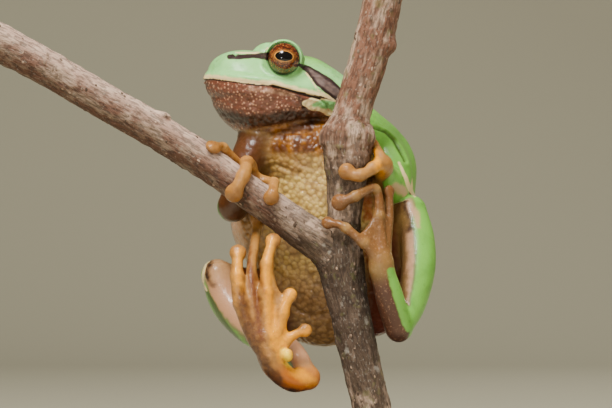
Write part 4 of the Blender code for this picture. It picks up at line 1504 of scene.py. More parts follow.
@dataclass
class Eye:
    """An eyeball with its cornea, and a UV map that lays the iris out flat round the pupil.

    Args:
        side: which eye it is.
        radius: the eyeball's.
        cornea: how far the cornea stands out in front of the pupil.
        cornea_spread: the square of how far from there it runs out.
        rings: how many faces there are from the pupil to the back of the eye.
        segments: how many there are round it.
    """

    side: Side
    radius: float = 2.15
    cornea: float = 0.1
    cornea_spread: float = 3.2
    rings: int = 64
    segments: int = 96

    def build(self) -> bpy.types.Object:
        """Makes the eyeball in the frame's metres.

        Returns:
            The eyeball.
        """
        middle, outward = eye_frame(self.side)
        ahead = head_axes()[:, 0]
        level = ahead - outward * (ahead @ outward)
        level /= np.linalg.norm(level)
        upright = np.cross(outward, level) * -self.side
        mesh = bmesh.new()
        bmesh.ops.create_uvsphere(mesh, u_segments=self.segments, v_segments=self.rings, radius=self.radius)
        layer = mesh.loops.layers.uv.new("iris")
        for face in mesh.faces:
            face.smooth = True
            for corner in face.loops:
                place = corner.vert.co
                corner[layer].uv = (
                    0.5 + place.x / IRIS_SPAN, 0.5 + place.y / IRIS_SPAN if place.z > 0 else 2.0
                )  # fmt: skip
        for vert in mesh.verts:
            x, y, z = vert.co
            swell = self.cornea * max(0.0, 1 - (x * x + y * y) / self.cornea_spread) if z > 0 else 0.0
            place = middle + level * x + upright * y + outward * (z + swell)
            vert.co = to_world(place)
        bmesh.ops.recalc_face_normals(mesh, faces=mesh.faces)
        obj = from_bmesh(f"eyeball_{self.side.name.lower()}", mesh)
        LOG.info("%s: %d faces", obj.name, len(obj.data.polygons))
        return obj


STEM = (
    (10.2, 0.0, 27.9, 2.35), (8.1, 0.0, 19.2, 2.4), (6.25, 0.0, 13.0, 2.3), (5.5, 0.0, 10.3, 2.45),
    (5.1, 0.0, 8.2, 3.1), (5.1, 0.0, 6.0, 2.95), (5.05, 0.0, 4.0, 2.65), (5.0, 0.0, 1.7, 2.35),
    (4.8, 0.0, -1.0, 2.15), (4.5, 0.0, -4.0, 2.35), (4.4, 0.0, -7.2, 2.8), (4.9, 0.0, -10.8, 2.65),
    (5.6, 0.0, -13.9, 2.5), (6.5, 0.0, -18.3, 2.42), (8.0, 0.0, -24.5, 2.35), (9.3, 0.0, -30.5, 2.3),
)  # fmt: skip
BRANCH = (
    (-42.0, -2.6, 22.1, 2.38), (-38.2, -2.4, 20.1, 2.36), (-32.0, -2.1, 16.8, 2.2), (-25.7, -1.8, 13.1, 2.2),
    (-19.5, -1.5, 9.6, 2.2), (-13.2, -1.3, 5.7, 2.15), (-8.2, -1.1, 2.2, 2.1), (-4.5, -0.9, -0.4, 2.1),
    (-0.75, -0.5, -3.1, 2.3), (2.0, -0.2, -5.0, 2.45), (4.2, 0.0, -7.0, 2.5),
)  # fmt: skip
LUMPS = (
    (7.3, -0.6, 8.6, 1.2), (3.2, -0.9, 8.4, 1.35), (6.2, -1.6, 5.4, 1.5), (5.0, 1.5, 7.6, 2.0),
    (10.3, -0.7, 19.9, 0.95)
)  # fmt: skip


@dataclass
class Perch:
    """The forked twig, with its bark, bud, leaf scars and cut ends.

    Args:
        voxel: how fine its faces are.
        bud: where a bud sits on the side branch.
        bud_radii: its size.
        node: x and z of the stem's swollen node.
        fork: where the branch leaves the stem.
    """

    voxel: float = 0.23
    bud: Triple = (-18.2, -2.2, 10.9)
    bud_radii: Triple = (1.3, 0.7, 0.6)
    node: tuple[float, float] = (5.1, 7.2)
    fork: Triple = (4.0, 0, -6.0)

    def build(self) -> bpy.types.Object:
        """Makes the twig in the frame's metres.

        Returns:
            The twig.
        """
        stem = limb(*STEM, soft=0.8)
        branch = limb(*BRANCH, soft=1.0)
        lumps = [Ellipsoid(at(x, y, z), (size, size, size), soft=1.1) for x, y, z, size in LUMPS]
        bud = Ellipsoid(at(*self.bud), self.bud_radii, soft=0.5)
        obj = Blend([stem, branch, bud, *lumps]).meshed("twig_bark", self.voxel)
        self.trim(obj)
        points = read_points(obj)
        normals = read_normals(obj)
        grown = self.growth(points, stem, branch)
        cut = self.cut_faces(points)
        rise = self.relief(points, grown) * (1 - cut)
        write_points(obj, to_world(points + normals * rise[:, None]))
        layer = obj.data.attributes.new("grown", "FLOAT_VECTOR", "POINT")
        layer.data.foreach_set("vector", grown.astype(np.float32).ravel())
        write_attribute(obj, "cut", cut)
        # painted light and shade: upward faces get a share for a lighter painted top, downward faces for
        # painted shade
        painted_top_light = ease(normals[:, 2], -0.35, 0.75) * (1 - ease(normals[:, 1], 0.2, 0.8))
        write_attribute(obj, "painted_top_light", painted_top_light)
        return smoothed(obj)

    def dress(self, obj: bpy.types.Object) -> None:
        """Gives the bark its material."""
        bark_shader().paint(obj)

    def trim(self, obj: bpy.types.Object) -> None:
        """Cuts the three ends off square and closes them.

        Args:
            obj: the twig, in millimetres.
        """
        cuts = (
            (Vector((0, 0, STEM_FOOT)), Vector((0, 0, -1))),
            (Vector((0, 0, STEM_TOP)), Vector((0, 0, 1))),
            (Vector((BRANCH_END, 0, 0)), Vector((-1, 0, 0))),
        )
        mesh = bmesh.new()
        mesh.from_mesh(obj.data)
        for place, normal in cuts:
            found = bmesh.ops.bisect_plane(
                mesh, geom=[*mesh.verts, *mesh.edges, *mesh.faces], plane_co=place, plane_no=normal,
                clear_outer=True
            )
            rim = [item for item in found["geom_cut"] if isinstance(item, bmesh.types.BMEdge)]
            made = bmesh.ops.edgeloop_fill(mesh, edges=rim)["faces"]
            bmesh.ops.poke(mesh, faces=made)
        mesh.to_mesh(obj.data)
        mesh.free()

    def cut_faces(self, points: Array) -> Array:
        """1 on the cut ends and 0 on the bark.

        Args:
            points: the bark's points.

        Returns:
            One value for each point.
        """
        near = np.minimum(np.abs(points[:, 2] - STEM_FOOT), np.abs(points[:, 2] - STEM_TOP))
        near = np.minimum(near, np.abs(points[:, 0] - BRANCH_END))
        return (near < 0.02).astype(float)

    def growth(self, points: Array, stem: Run, branch: Run) -> Array:
        """Coordinates that follow the wood: across, across and along it.

        Args:
            points: the bark's points.
            stem: the stem's tube.
            branch: the side branch's.

        Returns:
            One row for each point.
        """
        found = np.zeros((len(points), 3))
        best = np.full(len(points), np.inf)
        for offset, run in ((0.0, stem), (100.0, branch)):
            travelled = offset
            for i in range(len(run.path) - 1):
                start, along = run.path[i], run.path[i + 1] - run.path[i]
                length = np.linalg.norm(along)
                share = np.clip((points - start) @ along / length**2, 0, 1)
                across = points - start - share[:, None] * along
                away = np.linalg.norm(across, axis=1) - run.radii[i]
                closer = away < best
                best[closer] = away[closer]
                side = np.cross(along / length, (0, 1, 0))
                found[closer, 0] = (across @ side)[closer]
                found[closer, 1] = (across @ np.cross(side, along / length))[closer]
                found[closer, 2] = (travelled + share * length)[closer]
                travelled += length
        return found

    def relief(self, points: Array, grown: Array) -> Array:
        """How far the bark stands out: long ridges, wrinkles round the swollen node, and lenticels.

        Args:
            points: the bark's points.
            grown: the same, as coordinates that follow the wood.

        Returns:
            One height for each point.
        """
        stretched = grown * (1, 1, 0.22)
        ridges = 0.06 * waves(stretched, 1.1, 21) + 0.05 * np.abs(waves(stretched, 0.6, 22))
        across, height = self.node
        node = np.exp(-(((points[:, 2] - height) / 2.6) ** 2)) * (np.abs(points[:, 0] - across) < 4.5)
        fork = np.exp(-((np.linalg.norm(points - at(*self.fork), axis=1) / 4.0) ** 2))
        rings = np.sin(grown[:, 2] * 2 * math.pi / 0.95 + 1.6 * waves(grown, 2.5, 24))
        rough = (node + 0.5 * fork) * (0.07 * rings + 0.12 * waves(grown, 1.0, 23))
        warts = cell_bumps(grown * (1, 1, 0.7), 1.5, 31)
        return ridges + rough + 0.1 * np.maximum(0, warts - 0.55) / 0.45 - 0.03


@dataclass
class Lenticels:
    """The small corky grains all over the bark, scattered with Geometry Nodes.

    Args:
        density: how many lie on a square metre.
        size: the radius of a full one, in metres.
        seed: which scattering.
    """

    density: float = 190000.0
    size: float = 0.00017
    seed: int = 7

    def build(self, bark: bpy.types.Object, material: bpy.types.Material) -> bpy.types.Object:
        """Scatters the grains over the bark and keeps them as one mesh.

        Args:
            bark: the bark that they sit on, in the frame's metres.
            material: what they are made of.

        Returns:
            The grains.
        """
        obj = linked("twig_lenticels", bark.data.copy())
        scatter = obj.modifiers.new("scatter", "NODES")
        scatter.node_group = self.tree(material)
        bake(obj)
        LOG.info("twig_lenticels: %d faces", len(obj.data.polygons))
        return obj

    def tree(self, material: bpy.types.Material) -> bpy.types.NodeTree:
        """The node group: flattened grains on random places, turned to the surface.

        Args:
            material: what the grains are made of.

        Returns:
            The node group.
        """
        tree = bpy.data.node_groups.new("scattered_grains", "GeometryNodeTree")
        tree.interface.new_socket("Geometry", in_out="INPUT", socket_type="NodeSocketGeometry")
        for name, kind, value in (
            ("Density", "NodeSocketFloat", self.density),
            ("Size", "NodeSocketFloat", self.size),
            ("Seed", "NodeSocketInt", self.seed),
        ):
            tree.interface.new_socket(name, in_out="INPUT", socket_type=kind).default_value = value
        tree.interface.new_socket("Geometry", in_out="OUTPUT", socket_type="NodeSocketGeometry")
        start, end = tree.nodes.new("NodeGroupInput"), tree.nodes.new("NodeGroupOutput")
        spread = tree.nodes.new("GeometryNodeDistributePointsOnFaces")
        grain = tree.nodes.new("GeometryNodeMeshIcoSphere")
        grain.inputs["Subdivisions"].default_value = 2
        flat = tree.nodes.new("GeometryNodeTransform")
        flat.inputs["Scale"].default_value = (1.0, 1.5, 0.5)
        vary = tree.nodes.new("FunctionNodeRandomValue")
        vary.inputs[2].default_value, vary.inputs[3].default_value = 0.45, 1.25
        place = tree.nodes.new("GeometryNodeInstanceOnPoints")
        real = tree.nodes.new("GeometryNodeRealizeInstances")
        paint = tree.nodes.new("GeometryNodeSetMaterial")
        paint.inputs["Material"].default_value = material
        for source, target in (
            (start.outputs["Geometry"], spread.inputs["Mesh"]),
            (start.outputs["Density"], spread.inputs["Density"]),
            (start.outputs["Seed"], spread.inputs["Seed"]),
            (start.outputs["Seed"], vary.inputs["Seed"]),
            (start.outputs["Size"], grain.inputs["Radius"]),
            (grain.outputs["Mesh"], flat.inputs["Geometry"]),
            (spread.outputs["Points"], place.inputs["Points"]),
            (spread.outputs["Rotation"], place.inputs["Rotation"]),
            (flat.outputs["Geometry"], place.inputs["Instance"]),
            (vary.outputs[1], place.inputs["Scale"]),
            (place.outputs["Instances"], real.inputs["Geometry"]),
            (real.outputs["Geometry"], paint.inputs["Geometry"]),
            (paint.outputs["Geometry"], end.inputs["Geometry"]),
        ):
            tree.links.new(source, target)
        return tree


def linear(red: int, green: int, blue: int) -> tuple[float, float, float, float]:
    """A colour from its 0 to 255 screen values.

    Args:
        red: from 0 to 255.
        green: the same.
        blue: the same.

    Returns:
        The colour as the shader takes it, with alpha 1.
    """
    values = []
    for value in (red, green, blue):
        share = value / 255
        values.append(share / 12.92 if share <= 0.04045 else ((share + 0.055) / 1.055) ** 2.4)
    return (*values, 1.0)


class Tint(Enum):
    """The model's colours."""

    MINT = linear(134, 190, 112)
    LEAF = linear(110, 166, 62)
    LEAF_DEEP = linear(58, 104, 34)
    # painted shade for folds and the shank's lower side
    FOLD_SHADE = linear(48, 62, 18)
    CREAM = linear(222, 196, 138)
    LINE = linear(38, 20, 14)
    STRIPE = linear(46, 32, 30)
    STRIPE_PALE = linear(104, 86, 78)
    BELLY = linear(190, 156, 82)
    BELLY_LOW = linear(172, 130, 76)
    # painted shade in the hollows between granules
    GRANULE_SHADE = linear(104, 68, 30)
    THROAT = linear(104, 60, 42)
    THROAT_DOT = linear(214, 160, 124)
    CHEST = linear(84, 42, 3)
    CHEST_LIT = linear(150, 92, 12)
    FLANK = linear(142, 98, 44)
    ARM = linear(78, 42, 14)
    DIGIT = linear(158, 108, 50)
    JOINT_HIGHLIGHT = linear(224, 178, 96)
    # painted highlight on the knuckle swellings
    BROWN = linear(84, 48, 24)
    DIGIT_DEEP = linear(112, 66, 24)
    THIGH = linear(98, 40, 20)
    PALE = linear(176, 128, 92)
    DARK = linear(74, 42, 28)
    TOES = linear(112, 74, 38)
    HEEL = linear(176, 92, 8)
    BLUSH = linear(184, 142, 108)
    # also used for painted shade under the throat and behind the mouth's corner
    UMBER = linear(42, 19, 7)
    RUST = linear(84, 32, 14)
    GLOW = linear(146, 62, 4)
    AMBER = linear(228, 148, 6)
    YELLOW = linear(250, 206, 40)
    IRIS = linear(86, 28, 8)
    IRIS_DEEP = linear(44, 16, 8)
    GOLD = linear(206, 140, 60)
    PUPIL = linear(8, 6, 6)
    BARK = linear(88, 70, 54)
    BARK_RED = linear(116, 78, 58)
    BARK_PALE = linear(164, 136, 112)
    BARK_DARK = linear(34, 24, 20)
    LICHEN = linear(168, 160, 144)
    MOSS = linear(96, 92, 52)
    # painted light on the branch's top
    BARK_PAINTED_LIGHT = linear(196, 168, 146)
    WOOD = linear(206, 178, 130)
    BASE = linear(52, 50, 48)
    BASE_WORN = linear(64, 61, 57)
    STEEL = linear(168, 168, 170)
    FLOOR = linear(150, 144, 122)


@dataclass(frozen=True)
class Finish:
    """How a surface takes the light.

    Args:
        roughness: from 0, a mirror, to 1.
        coat: how much clear, wet gloss lies over it.
        subsurface: how much light goes through it.
        metallic: 1 for bare metal.
        coat_roughness: the gloss's own.
        scatter: how far red, green and blue light go in, as shares of the depth.
        scatter_depth: how deep, in metres.
    """

    roughness: float = 0.5
    coat: float = 0.0
    subsurface: float = 0.0
    metallic: float = 0.0
    coat_roughness: float = 0.12
    scatter: Triple = (1.0, 0.45, 0.22)
    scatter_depth: float = 0.0009


class Shader:
    """A material's node tree, with short ways to add to it."""

    def __init__(self, name: str, finish: Finish) -> None:
        """Makes the material with its one Principled BSDF.

        Args:
            name: the material's name.
            finish: how it takes the light.
        """
        self.material = bpy.data.materials.new(name)
        self.material.use_nodes = True
        self.nodes = self.material.node_tree.nodes
        self.links = self.material.node_tree.links
        self.surface = self.nodes["Principled BSDF"]
        for socket, value in (
            ("Roughness", finish.roughness),
            ("Metallic", finish.metallic),
            ("Coat Weight", finish.coat),
            ("Coat Roughness", finish.coat_roughness),
            ("Subsurface Weight", finish.subsurface),
            ("Subsurface Radius", finish.scatter),
            ("Subsurface Scale", finish.scatter_depth),
        ):
            self.surface.inputs[socket].default_value = value

    def feed(self, socket: bpy.types.NodeSocket, value: object) -> None:
        """Links a socket to another, or sets it.

        Args:
            socket: the input.
            value: another node's output, a tint or a number.
        """
        if isinstance(value, bpy.types.NodeSocket):
            self.links.new(value, socket)
        elif isinstance(value, Tint):
            socket.default_value = value.value[: len(socket.default_value)]
        else:
            socket.default_value = value

    def millimetres(self) -> bpy.types.NodeSocket:
        """Object coordinates in millimetres.

        Returns:
            The coordinates.
        """
        node = self.nodes.new("ShaderNodeTexCoord")
        scale = self.nodes.new("ShaderNodeVectorMath")
        scale.operation = "SCALE"
        scale.inputs["Scale"].default_value = 1000.0
        self.links.new(node.outputs["Object"], scale.inputs[0])
        return scale.outputs[0]

    def attribute(self, name: str, vector: bool = False) -> bpy.types.NodeSocket:
        """One of the mesh's own attributes.

        Args:
            name: the attribute's name.
            vector: whether it holds three numbers.

        Returns:
            Its value.
        """
        node = self.nodes.new("ShaderNodeAttribute")
        node.attribute_name = name
        return node.outputs["Vector" if vector else "Fac"]

    def math(self, operation: str, first: object, second: object = 0.0) -> bpy.types.NodeSocket:
        """Two values put together by a Math node.

        Args:
            operation: what the node does.
            first: one value.
            second: the other.

        Returns:
            The result.
        """
        node = self.nodes.new("ShaderNodeMath")
        node.operation = operation
        self.feed(node.inputs[0], first)
        self.feed(node.inputs[1], second)
        return node.outputs[0]

    def times(self, first: object, second: object) -> bpy.types.NodeSocket:
        """The product of two values."""
        return self.math("MULTIPLY", first, second)

    def plus(self, first: object, second: object) -> bpy.types.NodeSocket:
        """The sum of two values."""
        return self.math("ADD", first, second)

    def rest(self, value: object) -> bpy.types.NodeSocket:
        """What a share leaves of 1."""
        return self.math("SUBTRACT", 1.0, value)

    def centred(self, value: object) -> bpy.types.NodeSocket:
        """A value from 0 to 1, moved to lie round 0."""
        return self.math("SUBTRACT", value, 0.5)

    def stretch(self, vector: bpy.types.NodeSocket, by: Triple) -> bpy.types.NodeSocket:
        """Coordinates scaled on each axis.

        Args:
            vector: the coordinates.
            by: the scale on each axis.

        Returns:
            The new coordinates.
        """
        node = self.nodes.new("ShaderNodeVectorMath")
        node.operation = "MULTIPLY"
        self.feed(node.inputs[0], vector)
        node.inputs[1].default_value = by
        return node.outputs[0]

    def noise(self, vector: bpy.types.NodeSocket, size: float, detail: float = 3.0) -> bpy.types.NodeSocket:
        """Soft noise from 0 to 1, with lumps of about that size in millimetres.

        Args:
            vector: the coordinates.
            size: how large the lumps are.
            detail: how many finer layers there are.

        Returns:
            The noise.
        """
        node = self.nodes.new("ShaderNodeTexNoise")
        node.inputs["Scale"].default_value = 1.0 / size
        node.inputs["Detail"].default_value = detail
        self.feed(node.inputs["Vector"], vector)
        return node.outputs["Fac"]

    def cells(self, vector: bpy.types.NodeSocket, size: float) -> bpy.types.NodeSocket:
        """Distance from the middle of each cell, for cells of about that size in millimetres.

        Args:
            vector: the coordinates.
            size: how large a cell is.

        Returns:
            The distance, 0 in the middle.
        """
        node = self.nodes.new("ShaderNodeTexVoronoi")
        node.feature = "SMOOTH_F1"
        node.inputs["Smoothness"].default_value = 0.25
        node.inputs["Scale"].default_value = 1.0 / size
        self.feed(node.inputs["Vector"], vector)
        return node.outputs["Distance"]

    def step(self, value: object, low: float, high: float) -> bpy.types.NodeSocket:
        """A smooth step from 0 at low to 1 at high.

        Args:
            value: what it depends on.
            low: where it is 0.
            high: where it is 1; below low, the step falls.

        Returns:
            The share.
        """
        node = self.nodes.new("ShaderNodeMapRange")
        node.interpolation_type = "SMOOTHSTEP"
        self.feed(node.inputs["Value"], value)
        node.inputs["From Min"].default_value = low
        node.inputs["From Max"].default_value = high
        return node.outputs["Result"]

    def mix(self, share: object, first: object, second: object) -> bpy.types.NodeSocket:
        """The first colour, turning to the second as the share rises.

        Args:
            share: from 0 to 1.
            first: the colour at 0.
            second: the colour at 1.

        Returns:
            The colour.
        """
        node = self.nodes.new("ShaderNodeMix")
        node.data_type = "RGBA"
        self.feed(node.inputs[0], share)
        self.feed(node.inputs[6], first)
        self.feed(node.inputs[7], second)
        return node.outputs[2]

    def shade(self, colour: object, amount: object) -> bpy.types.NodeSocket:
        """A colour made darker or lighter: 1 leaves it.

        Args:
            colour: the colour.
            amount: what it is multiplied by.

        Returns:
            The colour.
        """
        node = self.nodes.new("ShaderNodeVectorMath")
        node.operation = "SCALE"
        self.feed(node.inputs[0], colour)
        self.feed(node.inputs["Scale"], amount)
        return node.outputs[0]

    def bump(self, height: object, depth: float, strength: float = 1.0) -> None:
        """Adds relief that deep in millimetres over what there is.

        Args:
            height: the relief, from 0 to 1.
            depth: how deep it is.
            strength: how much of it shows.
        """
        node = self.nodes.new("ShaderNodeBump")
        node.inputs["Strength"].default_value = strength
        node.inputs["Distance"].default_value = depth * MM
        self.feed(node.inputs["Height"], height)
        normal = self.surface.inputs["Normal"]
        if normal.is_linked:
            self.links.new(normal.links[0].from_socket, node.inputs["Normal"])
        self.links.new(node.outputs[0], normal)
        self.links.new(node.outputs[0], self.surface.inputs["Coat Normal"])

    def paint(self, obj: bpy.types.Object) -> None:
        """Gives an object this material alone."""
        obj.data.materials.clear()
        obj.data.materials.append(self.material)


def skin_shader() -> Shader:
    """Moist frog skin: green above, granular cream and orange below, with its lines and bands.

    Returns:
        The shader.
    """
    made = Shader("frog_skin", Finish(roughness=0.36, coat=0.38, subsurface=0.12))
    place = made.millimetres()
    grain = made.attribute("grain")
    fine = made.noise(place, 0.5, 4.0)
    colour = ground_colour(made, place, grain, fine)
    colour = patched(made, place, fine, colour)
    colour = green_and_lines(made, place, colour)
    made.feed(made.surface.inputs["Base Color"], colour)
    cells = made.cells(place, 0.62)
    made.bump(made.times(made.rest(cells), grain), 0.16)
    digits = made.math("MAXIMUM", made.attribute("digit"), made.attribute("toes"))
    made.bump(made.times(made.noise(place, 0.55, 4.0), digits), 0.12)
    made.bump(made.noise(place, 0.22, 2.0), 0.04, 0.8)
    return made


def ground_colour(made: Shader, place: object, grain: object, fine: object) -> bpy.types.NodeSocket:
    """The skin's ground: belly, chest, throat, limbs and digits, each granular or mottled.

    Args:
        made: the shader to add to.
        place: coordinates in millimetres.
        grain: how granular the skin is.
        fine: a fine noise.

    Returns:
        The colour.
    """
    colour = made.mix(made.step(made.noise(place, 3.2), 0.45, 0.75), Tint.BELLY, Tint.BELLY_LOW)
    colour = made.mix(made.attribute("low"), colour, Tint.BELLY_LOW)
    colour = made.mix(made.attribute("flank"), colour, Tint.FLANK)
    # painted shade: the hollows between the granules are darkened where the bump is low
    cells = made.cells(place, 0.62)
    granule_shade = made.times(made.step(cells, 0.34, 0.78), made.times(grain, 0.6))
    colour = made.mix(granule_shade, colour, Tint.GRANULE_SHADE)
    orange = made.mix(made.step(made.noise(place, 1.4, 4.0), 0.42, 0.66), Tint.CHEST, Tint.CHEST_LIT)
    colour = made.mix(made.attribute("chest"), colour, orange)
    for name, tint in (
        ("throat", Tint.THROAT), ("arm", Tint.ARM), ("digit", Tint.DIGIT), ("thigh", Tint.THIGH),
        ("pale", Tint.PALE), ("dark", Tint.DARK), ("toes", Tint.TOES), ("heel", Tint.HEEL),
    ):  # fmt: skip
        colour = made.mix(made.attribute(name), colour, tint)
    dots = made.step(made.cells(place, 0.44), 0.44, 0.16)
    dotted = made.times(made.times(dots, made.attribute("throat")), made.step(fine, 0.3, 0.5))
    colour = made.mix(made.times(dotted, 0.62), colour, Tint.THROAT_DOT)
    digits = made.math("MAXIMUM", made.attribute("digit"), made.attribute("toes"))
    mottled = made.times(made.step(made.noise(place, 1.3, 4.0), 0.5, 0.68), digits)
    colour = made.mix(made.times(mottled, 0.5), colour, Tint.DIGIT_DEEP)
    colour = made.mix(made.times(made.attribute("pads"), 0.4), colour, Tint.DIGIT_DEEP)
    # painted highlight: pale spots on the knuckle swellings
    colour = made.mix(made.times(made.attribute("joints"), 0.4), colour, Tint.JOINT_HIGHLIGHT)
    legs = made.math("MAXIMUM", made.attribute("toes"), made.attribute("dark"))
    speckled = made.times(made.step(made.noise(place, 0.3, 3.0), 0.56, 0.68), legs)
    colour = made.mix(made.times(speckled, 0.3), colour, Tint.BLUSH)
    mottle = made.plus(0.84, made.times(made.noise(place, 1.8), 0.32))
    return made.shade(colour, mottle)


def patched(made: Shader, place: object, fine: object, colour: object) -> bpy.types.NodeSocket:
    """Soft patches of other tones over the ground.

    Args:
        made: the shader to add to.
        place: coordinates in millimetres.
        fine: a fine noise.
        colour: the ground.

    Returns:
        The colour.
    """
    ragged = made.centred(made.noise(place, 0.9, 4.0))
    for name, tint, most in (
        ("blush", Tint.BLUSH, 0.8), ("amber", Tint.AMBER, 0.85), ("rust", Tint.RUST, 0.75),
        ("glow", Tint.GLOW, 0.8), ("brown", Tint.BROWN, 0.85), ("umber", Tint.UMBER, 0.92),
        ("gold", Tint.YELLOW, 0.9),
    ):  # fmt: skip
        inside = made.step(made.plus(made.attribute(name), ragged), -0.4, 0.4)
        speckle = made.plus(most, made.times(made.centred(fine), 0.9))
        share = made.times(inside, made.math("MINIMUM", speckle, 1.0))
        colour = made.mix(share, colour, tint)
    return colour


def green_and_lines(made: Shader, place: object, colour: object) -> bpy.types.NodeSocket:
    """The green of the back with its dark and cream borders, the bands and the thin lines.

    Args:
        made: the shader to add to.
        place: coordinates in millimetres.
        colour: what lies under them.

    Returns:
        The colour.
    """
    wobble = made.times(made.centred(made.noise(place, 0.8, 4.0)), 0.42)
    thin = made.times(wobble, 0.4)
    green = made.plus(made.attribute("green"), wobble)
    leaf = made.mix(made.attribute("mint"), Tint.LEAF, Tint.MINT)
    leaf = made.mix(made.step(made.noise(place, 2.2), 0.45, 0.75), leaf, made.mix(0.35, leaf, Tint.LEAF_DEEP))
    flecks = made.times(made.step(made.noise(place, 0.7, 5.0), 0.6, 0.72), 0.35)
    leaf = made.mix(flecks, leaf, Tint.LEAF_DEEP)
    bordered = made.attribute("bordered")
    colour = made.mix(made.times(made.step(green, -0.95, -0.75), bordered), colour, Tint.LINE)
    colour = made.mix(made.times(made.step(green, -0.5, -0.38), bordered), colour, Tint.CREAM)
    fringe = made.times(made.step(green, -0.45, -0.1), made.rest(bordered))
    colour = made.mix(made.times(fringe, 0.7), colour, Tint.LEAF_DEEP)
    colour = made.mix(made.step(green, -0.16, 0.14), colour, leaf)
    # painted shade: dark olive under the arm's fold and along the right shank's lower side
    deep = made.plus(made.attribute("deep"), thin)
    colour = made.mix(made.times(made.step(deep, -0.2, 0.12), 0.85), colour, Tint.FOLD_SHADE)
    bare = made.plus(made.attribute("bare"), made.times(wobble, 2.0))
    colour = made.mix(made.times(made.step(bare, -0.3, 0.3), 0.85), colour, Tint.BLUSH)
    stripe = made.plus(made.attribute("stripe"), thin)
    band = made.mix(0.55, Tint.STRIPE, Tint.STRIPE_PALE)
    band = made.mix(made.step(made.noise(place, 0.8, 4.0), 0.42, 0.66), band, Tint.STRIPE_PALE)
    band = made.mix(made.step(stripe, 0.5, 0.28), band, Tint.STRIPE)
    colour = made.mix(made.step(stripe, -0.06, 0.04), colour, band)
    cream = made.plus(made.attribute("cream"), thin)
    colour = made.mix(made.step(cream, -0.08, 0.06), colour, Tint.CREAM)
    patch = made.plus(made.attribute("leaf"), wobble)
    colour = made.mix(made.step(patch, -0.15, 0.15), colour, leaf)
    line = made.plus(made.attribute("line"), thin)
    return made.mix(made.step(line, -0.06, 0.05), colour, Tint.LINE)


def eye_shader() -> Shader:
    """A copper iris with gold flecks, and a level pupil ringed with gold.

    Returns:
        The shader.
    """
    made = Shader("frog_eye", Finish(roughness=0.1, coat=1.0))
    node = made.nodes.new("ShaderNodeUVMap")
    node.uv_map = "iris"
    split = made.nodes.new("ShaderNodeSeparateXYZ")
    made.links.new(node.outputs[0], split.inputs[0])
    across = made.times(made.centred(split.outputs[0]), IRIS_SPAN)
    upward = made.times(made.centred(split.outputs[1]), IRIS_SPAN)
    square = made.math("POWER", across, 2.0)
    away = made.math("SQRT", made.plus(square, made.math("POWER", upward, 2.0)))
    narrow = made.times(made.math("SUBTRACT", upward, 0.14), 1.75)
    oval = made.math("SQRT", made.plus(square, made.math("POWER", narrow, 2.0)))
    place = made.millimetres()
    flecks = made.noise(place, 0.16, 4.0)
    oval = made.plus(oval, made.times(made.centred(flecks), 0.1))
    colour = made.mix(made.times(made.step(flecks, 0.52, 0.7), 0.6), Tint.IRIS, Tint.GOLD)
    veins = made.noise(place, 0.3, 5.0)
    colour = made.mix(made.step(veins, 0.47, 0.6), colour, Tint.IRIS_DEEP)
    glow = made.times(made.step(oval, 1.9, 1.2), 0.22)
    colour = made.mix(glow, colour, Tint.GOLD)
    colour = made.mix(made.step(oval, 1.25, 1.18), colour, Tint.GOLD)
    colour = made.mix(made.step(oval, 1.16, 1.1), colour, Tint.PUPIL)
    colour = made.mix(made.step(away, 1.84, 2.0), colour, Tint.PUPIL)
    made.feed(made.surface.inputs["Base Color"], colour)
    made.bump(flecks, 0.02, 0.4)
    return made


